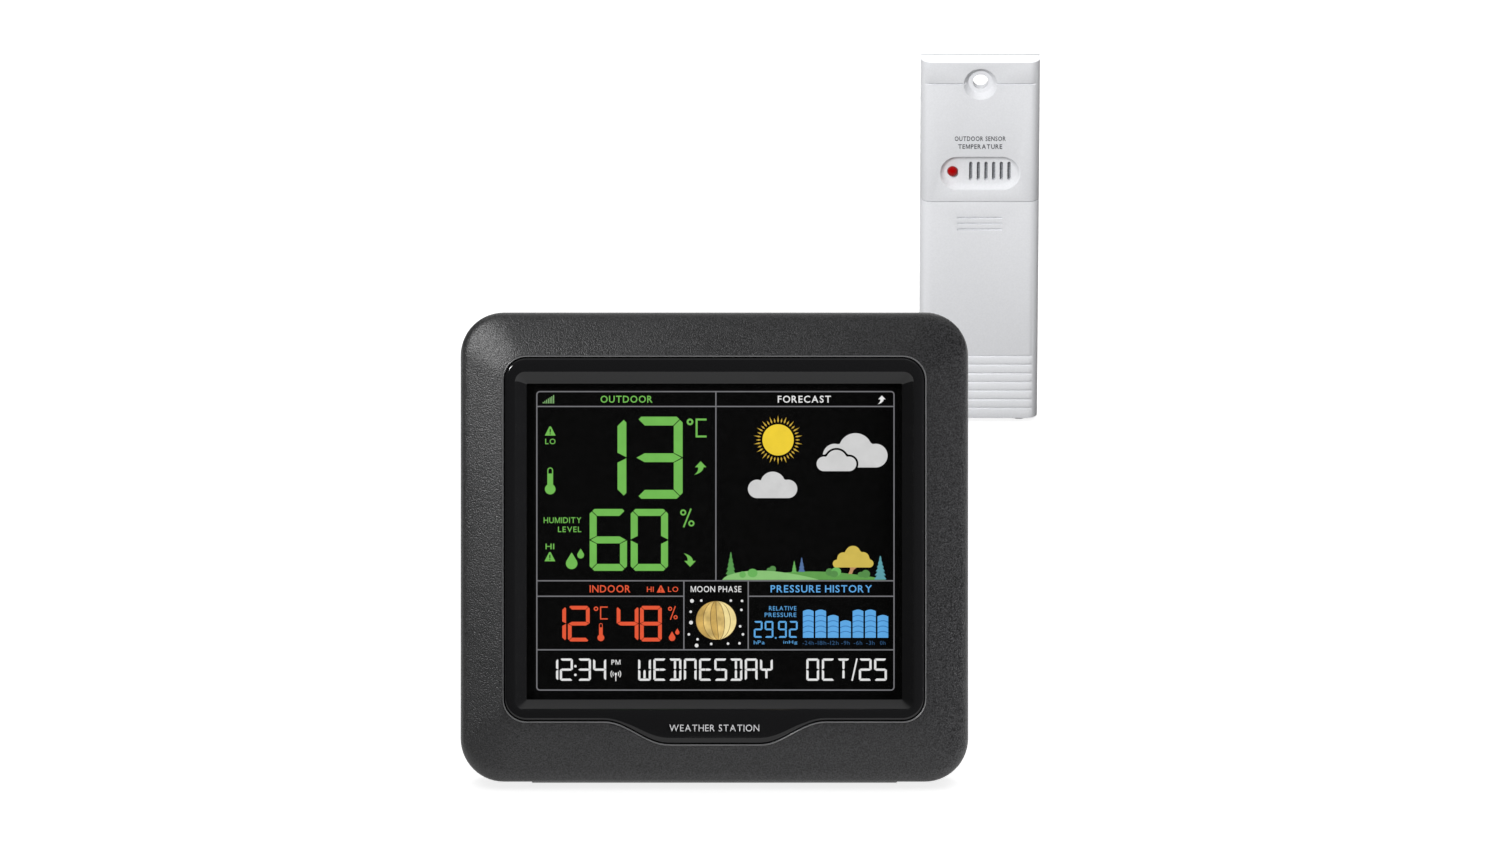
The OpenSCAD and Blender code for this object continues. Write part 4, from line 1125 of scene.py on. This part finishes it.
def print_word(name, word, z0, z1, bold, place, ink, body):
    """A word printed across a face's middle, a little proud of it. place puts the face at y = 0.

    word is its text and half its width."""
    text, half = word
    points, faces = letters(text, -half, half, z0, z1, bold)
    verts = [(x, -PRINT_PROUD * (0.5 + height), z) for x, z, height in points]
    add_piece(name, verts, faces, place, INKS[ink], body, smooth=False)


def print_bezel():
    """The plain words on the bezel's tongue."""
    face = CONSOLE @ Matrix.Translation((0, -0.42, 0))
    print_word("bezel_print", BEZEL_WORD, 16.4, 18.6, 0.0, face, "silver_print", "console")


def print_sensor():
    """The plain words over the sensor's vents."""
    for row, (name, word) in enumerate(SENSOR_WORDS.items()):
        low = SENSOR_WORD_LOW - SENSOR_WORD_STEP * row
        print_word(name, word, low, low + SENSOR_WORD_H, 0.016, SENSOR, "grey_print", "sensor_case")


# ---------- the CAD nodes that show as they are ----------

# How far the edges of the shown nodes are softened, in millimetres.
BEVELS = {
    "rear_cover": 0.5, "battery_door": 0.3, "kickstand": 0.45, "stand_foot": 0.3, "foot_strip": 0.25,
    "sensor_front_shell": 0.4, "sensor_battery_cover": 0.4, "sensor_rear_shell": 0.4,
    "light_button": 0.35, "set_button": 0.35, "plus_button": 0.35, "minus_button": 0.35, "alert_button": 0.35,
    "signal_button": 0.35, "backlight_switch_knob": 0.25, "power_jack": 0.15, "sensor_test_button": 0.2,
    "case_screws": 0.12, "sensor_screws": 0.12, "display_window": 0.15, "main_board": 0.1,
}


def dress_nodes():
    """Each CAD node's material, and soft edges on those that show."""
    for name, piece in NODES.items():
        piece.data.materials.clear()
        piece.data.materials.append(SLOTS[SLOT_OF[name]])
        if name in BEVELS:
            smooth_by_angle(piece, 35)
            add_bevel(piece, BEVELS[name] * MM)


# ---------- floor, lights and camera ----------

MIDDLE = CONSOLE @ Vector((0, 0, FACE_H / 2))
FLOOR_HALF = 4.0
FLOOR_GLOW = 0.8


def add_floor():
    """A plain pale floor with a faint glow of its own, which throws no soft light back on the pieces."""
    mesh = bpy.data.meshes.new("floor")
    size = FLOOR_HALF
    corners = [(-size, -size, 0), (size, -size, 0), (size, size, 0), (-size, size, 0)]
    mesh.from_pydata(corners, [], [(0, 1, 2, 3)])
    floor = bpy.data.objects.new("floor", mesh)
    bpy.context.scene.collection.objects.link(floor)
    material, tree, shader = new_material("floor_white", grey(0.95), 0.9)
    shader.inputs["Specular IOR Level"].default_value = 0.1
    shader.inputs["Emission Color"].default_value = (1, 1, 1, 1)
    shader.inputs["Emission Strength"].default_value = FLOOR_GLOW
    bump(tree, shader, noise(tree, 120, 2), 0.00004)
    mesh.materials.append(material)
    floor.visible_diffuse = False


def add_softbox(name, direction, distance, size, power, shines=True):
    """An area light that faces the console's middle. direction is right, towards the viewer, up the face.

    A light that doesn't shine is not seen in glossy surfaces."""
    toward = (RIGHT * direction[0] - BACK * direction[1] + UP * direction[2]).normalized()
    light = bpy.data.lights.new(name, "AREA")
    light.shape = "RECTANGLE"
    light.size, light.size_y = size
    light.energy = power
    lamp = bpy.data.objects.new(name, light)
    bpy.context.scene.collection.objects.link(lamp)
    lamp.location = MIDDLE + toward * distance
    lamp.rotation_euler = toward.to_track_quat("Z", "Y").to_euler()
    lamp.visible_camera = False
    lamp.visible_glossy = shines
    return lamp


def light_only(lamp, on_sensor):
    """Keeps a light to the sensor's pieces, or to the console's."""
    lit_pieces = bpy.data.collections.new(lamp.name + "_lights")
    for piece in bpy.data.objects:
        if piece.type == "MESH" and piece.name != "floor":
            if piece.name.startswith("sensor_") == on_sensor:
                lit_pieces.objects.link(piece)
    lamp.light_linking.receiver_collection = lit_pieces


def add_lights():
    """Soft studio light, set for the dark console and the white sensor apart."""
    key_light = add_softbox("key_light", (-0.56, 0.70, 0.43), 0.62, (0.08, 0.08), 2.9)
    light_only(key_light, on_sensor=False)
    side_light = add_softbox("side_light", (1.0, 0.35, -0.15), 0.6, (0.3, 0.3), 9.5, shines=False)
    light_only(side_light, on_sensor=False)
    fill_light = add_softbox("fill_light", (-0.25, 1.0, 0.26), 2.6, (0.6, 0.6), 78.0, shines=False)
    light_only(fill_light, on_sensor=True)
    top_light = add_softbox("top_light", (0.0, -0.25, 1.0), 1.2, (0.5, 0.5), 4.0, shines=False)
    light_only(top_light, on_sensor=True)
    add_softbox("back_light", (0.0, -1.0, 1.0), 1.8, (1.2, 1.2), 6)


WORLD_STRENGTH = 2.0
SKY_TOP = (0, 0.42, 0.906)
# The sky's brightness by how near a direction is to SKY_TOP: 0 at right angles or beyond, 1 straight at it.
SKY = [(0.0, grey(0.04)), (0.3, grey(0.05)), (0.62, grey(0.08)), (0.85, grey(0.38)), (1.0, grey(0.5))]


def add_world():
    """White to the camera; to everything else a sky that is bright overhead and dark near the horizon."""
    world = bpy.data.worlds.new("studio")
    bpy.context.scene.world = world
    world.use_nodes = True
    tree = world.node_tree
    background = tree.nodes["Background"]
    where = tree.nodes.new("ShaderNodeTexCoord")
    height = tree.nodes.new("ShaderNodeVectorMath")
    height.operation = "DOT_PRODUCT"
    height.inputs[1].default_value = SKY_TOP
    tree.links.new(where.outputs["Generated"], height.inputs[0])
    sky = ramp(tree, height.outputs["Value"], SKY)
    rays = tree.nodes.new("ShaderNodeLightPath")
    choose = tree.nodes.new("ShaderNodeMix")
    choose.data_type = "RGBA"
    tree.links.new(rays.outputs["Is Camera Ray"], choose.inputs["Factor"])
    tree.links.new(sky, choose.inputs["A"])
    choose.inputs["B"].default_value = (*grey(1 / WORLD_STRENGTH), 1)
    tree.links.new(choose.outputs["Result"], background.inputs["Color"])
    background.inputs["Strength"].default_value = WORLD_STRENGTH


CAMERA_DISTANCE = 5.0
CAMERA_CHIP_W = 36
VIEW_WIDTH = 483.9
VIEW_RIGHT = 11.5
VIEW_UP = 40.4


def add_camera():
    """Looks straight at the console's face from far away, with the console low in the frame."""
    camera = bpy.data.objects.new("camera", bpy.data.cameras.new("camera"))
    bpy.context.scene.collection.objects.link(camera)
    camera.data.lens = CAMERA_CHIP_W * CAMERA_DISTANCE / (VIEW_WIDTH * MM)
    camera.data.clip_end = 50
    aim = CONSOLE @ Vector((VIEW_RIGHT, 0, FACE_H / 2 + VIEW_UP))
    camera.matrix_world = Matrix.Translation(aim - BACK * CAMERA_DISTANCE) @ Matrix(
        (RIGHT, UP, -BACK)).transposed().to_4x4()
    bpy.context.scene.camera = camera


make_front_frame()
make_lip()
make_gloss_bezel()
make_picture()
print_bezel()
print_sensor()
dress_nodes()
add_floor()
add_world()
add_lights()
bpy.context.scene.view_settings.view_transform = "Standard"
add_camera()

bpy.context.view_layer.update()
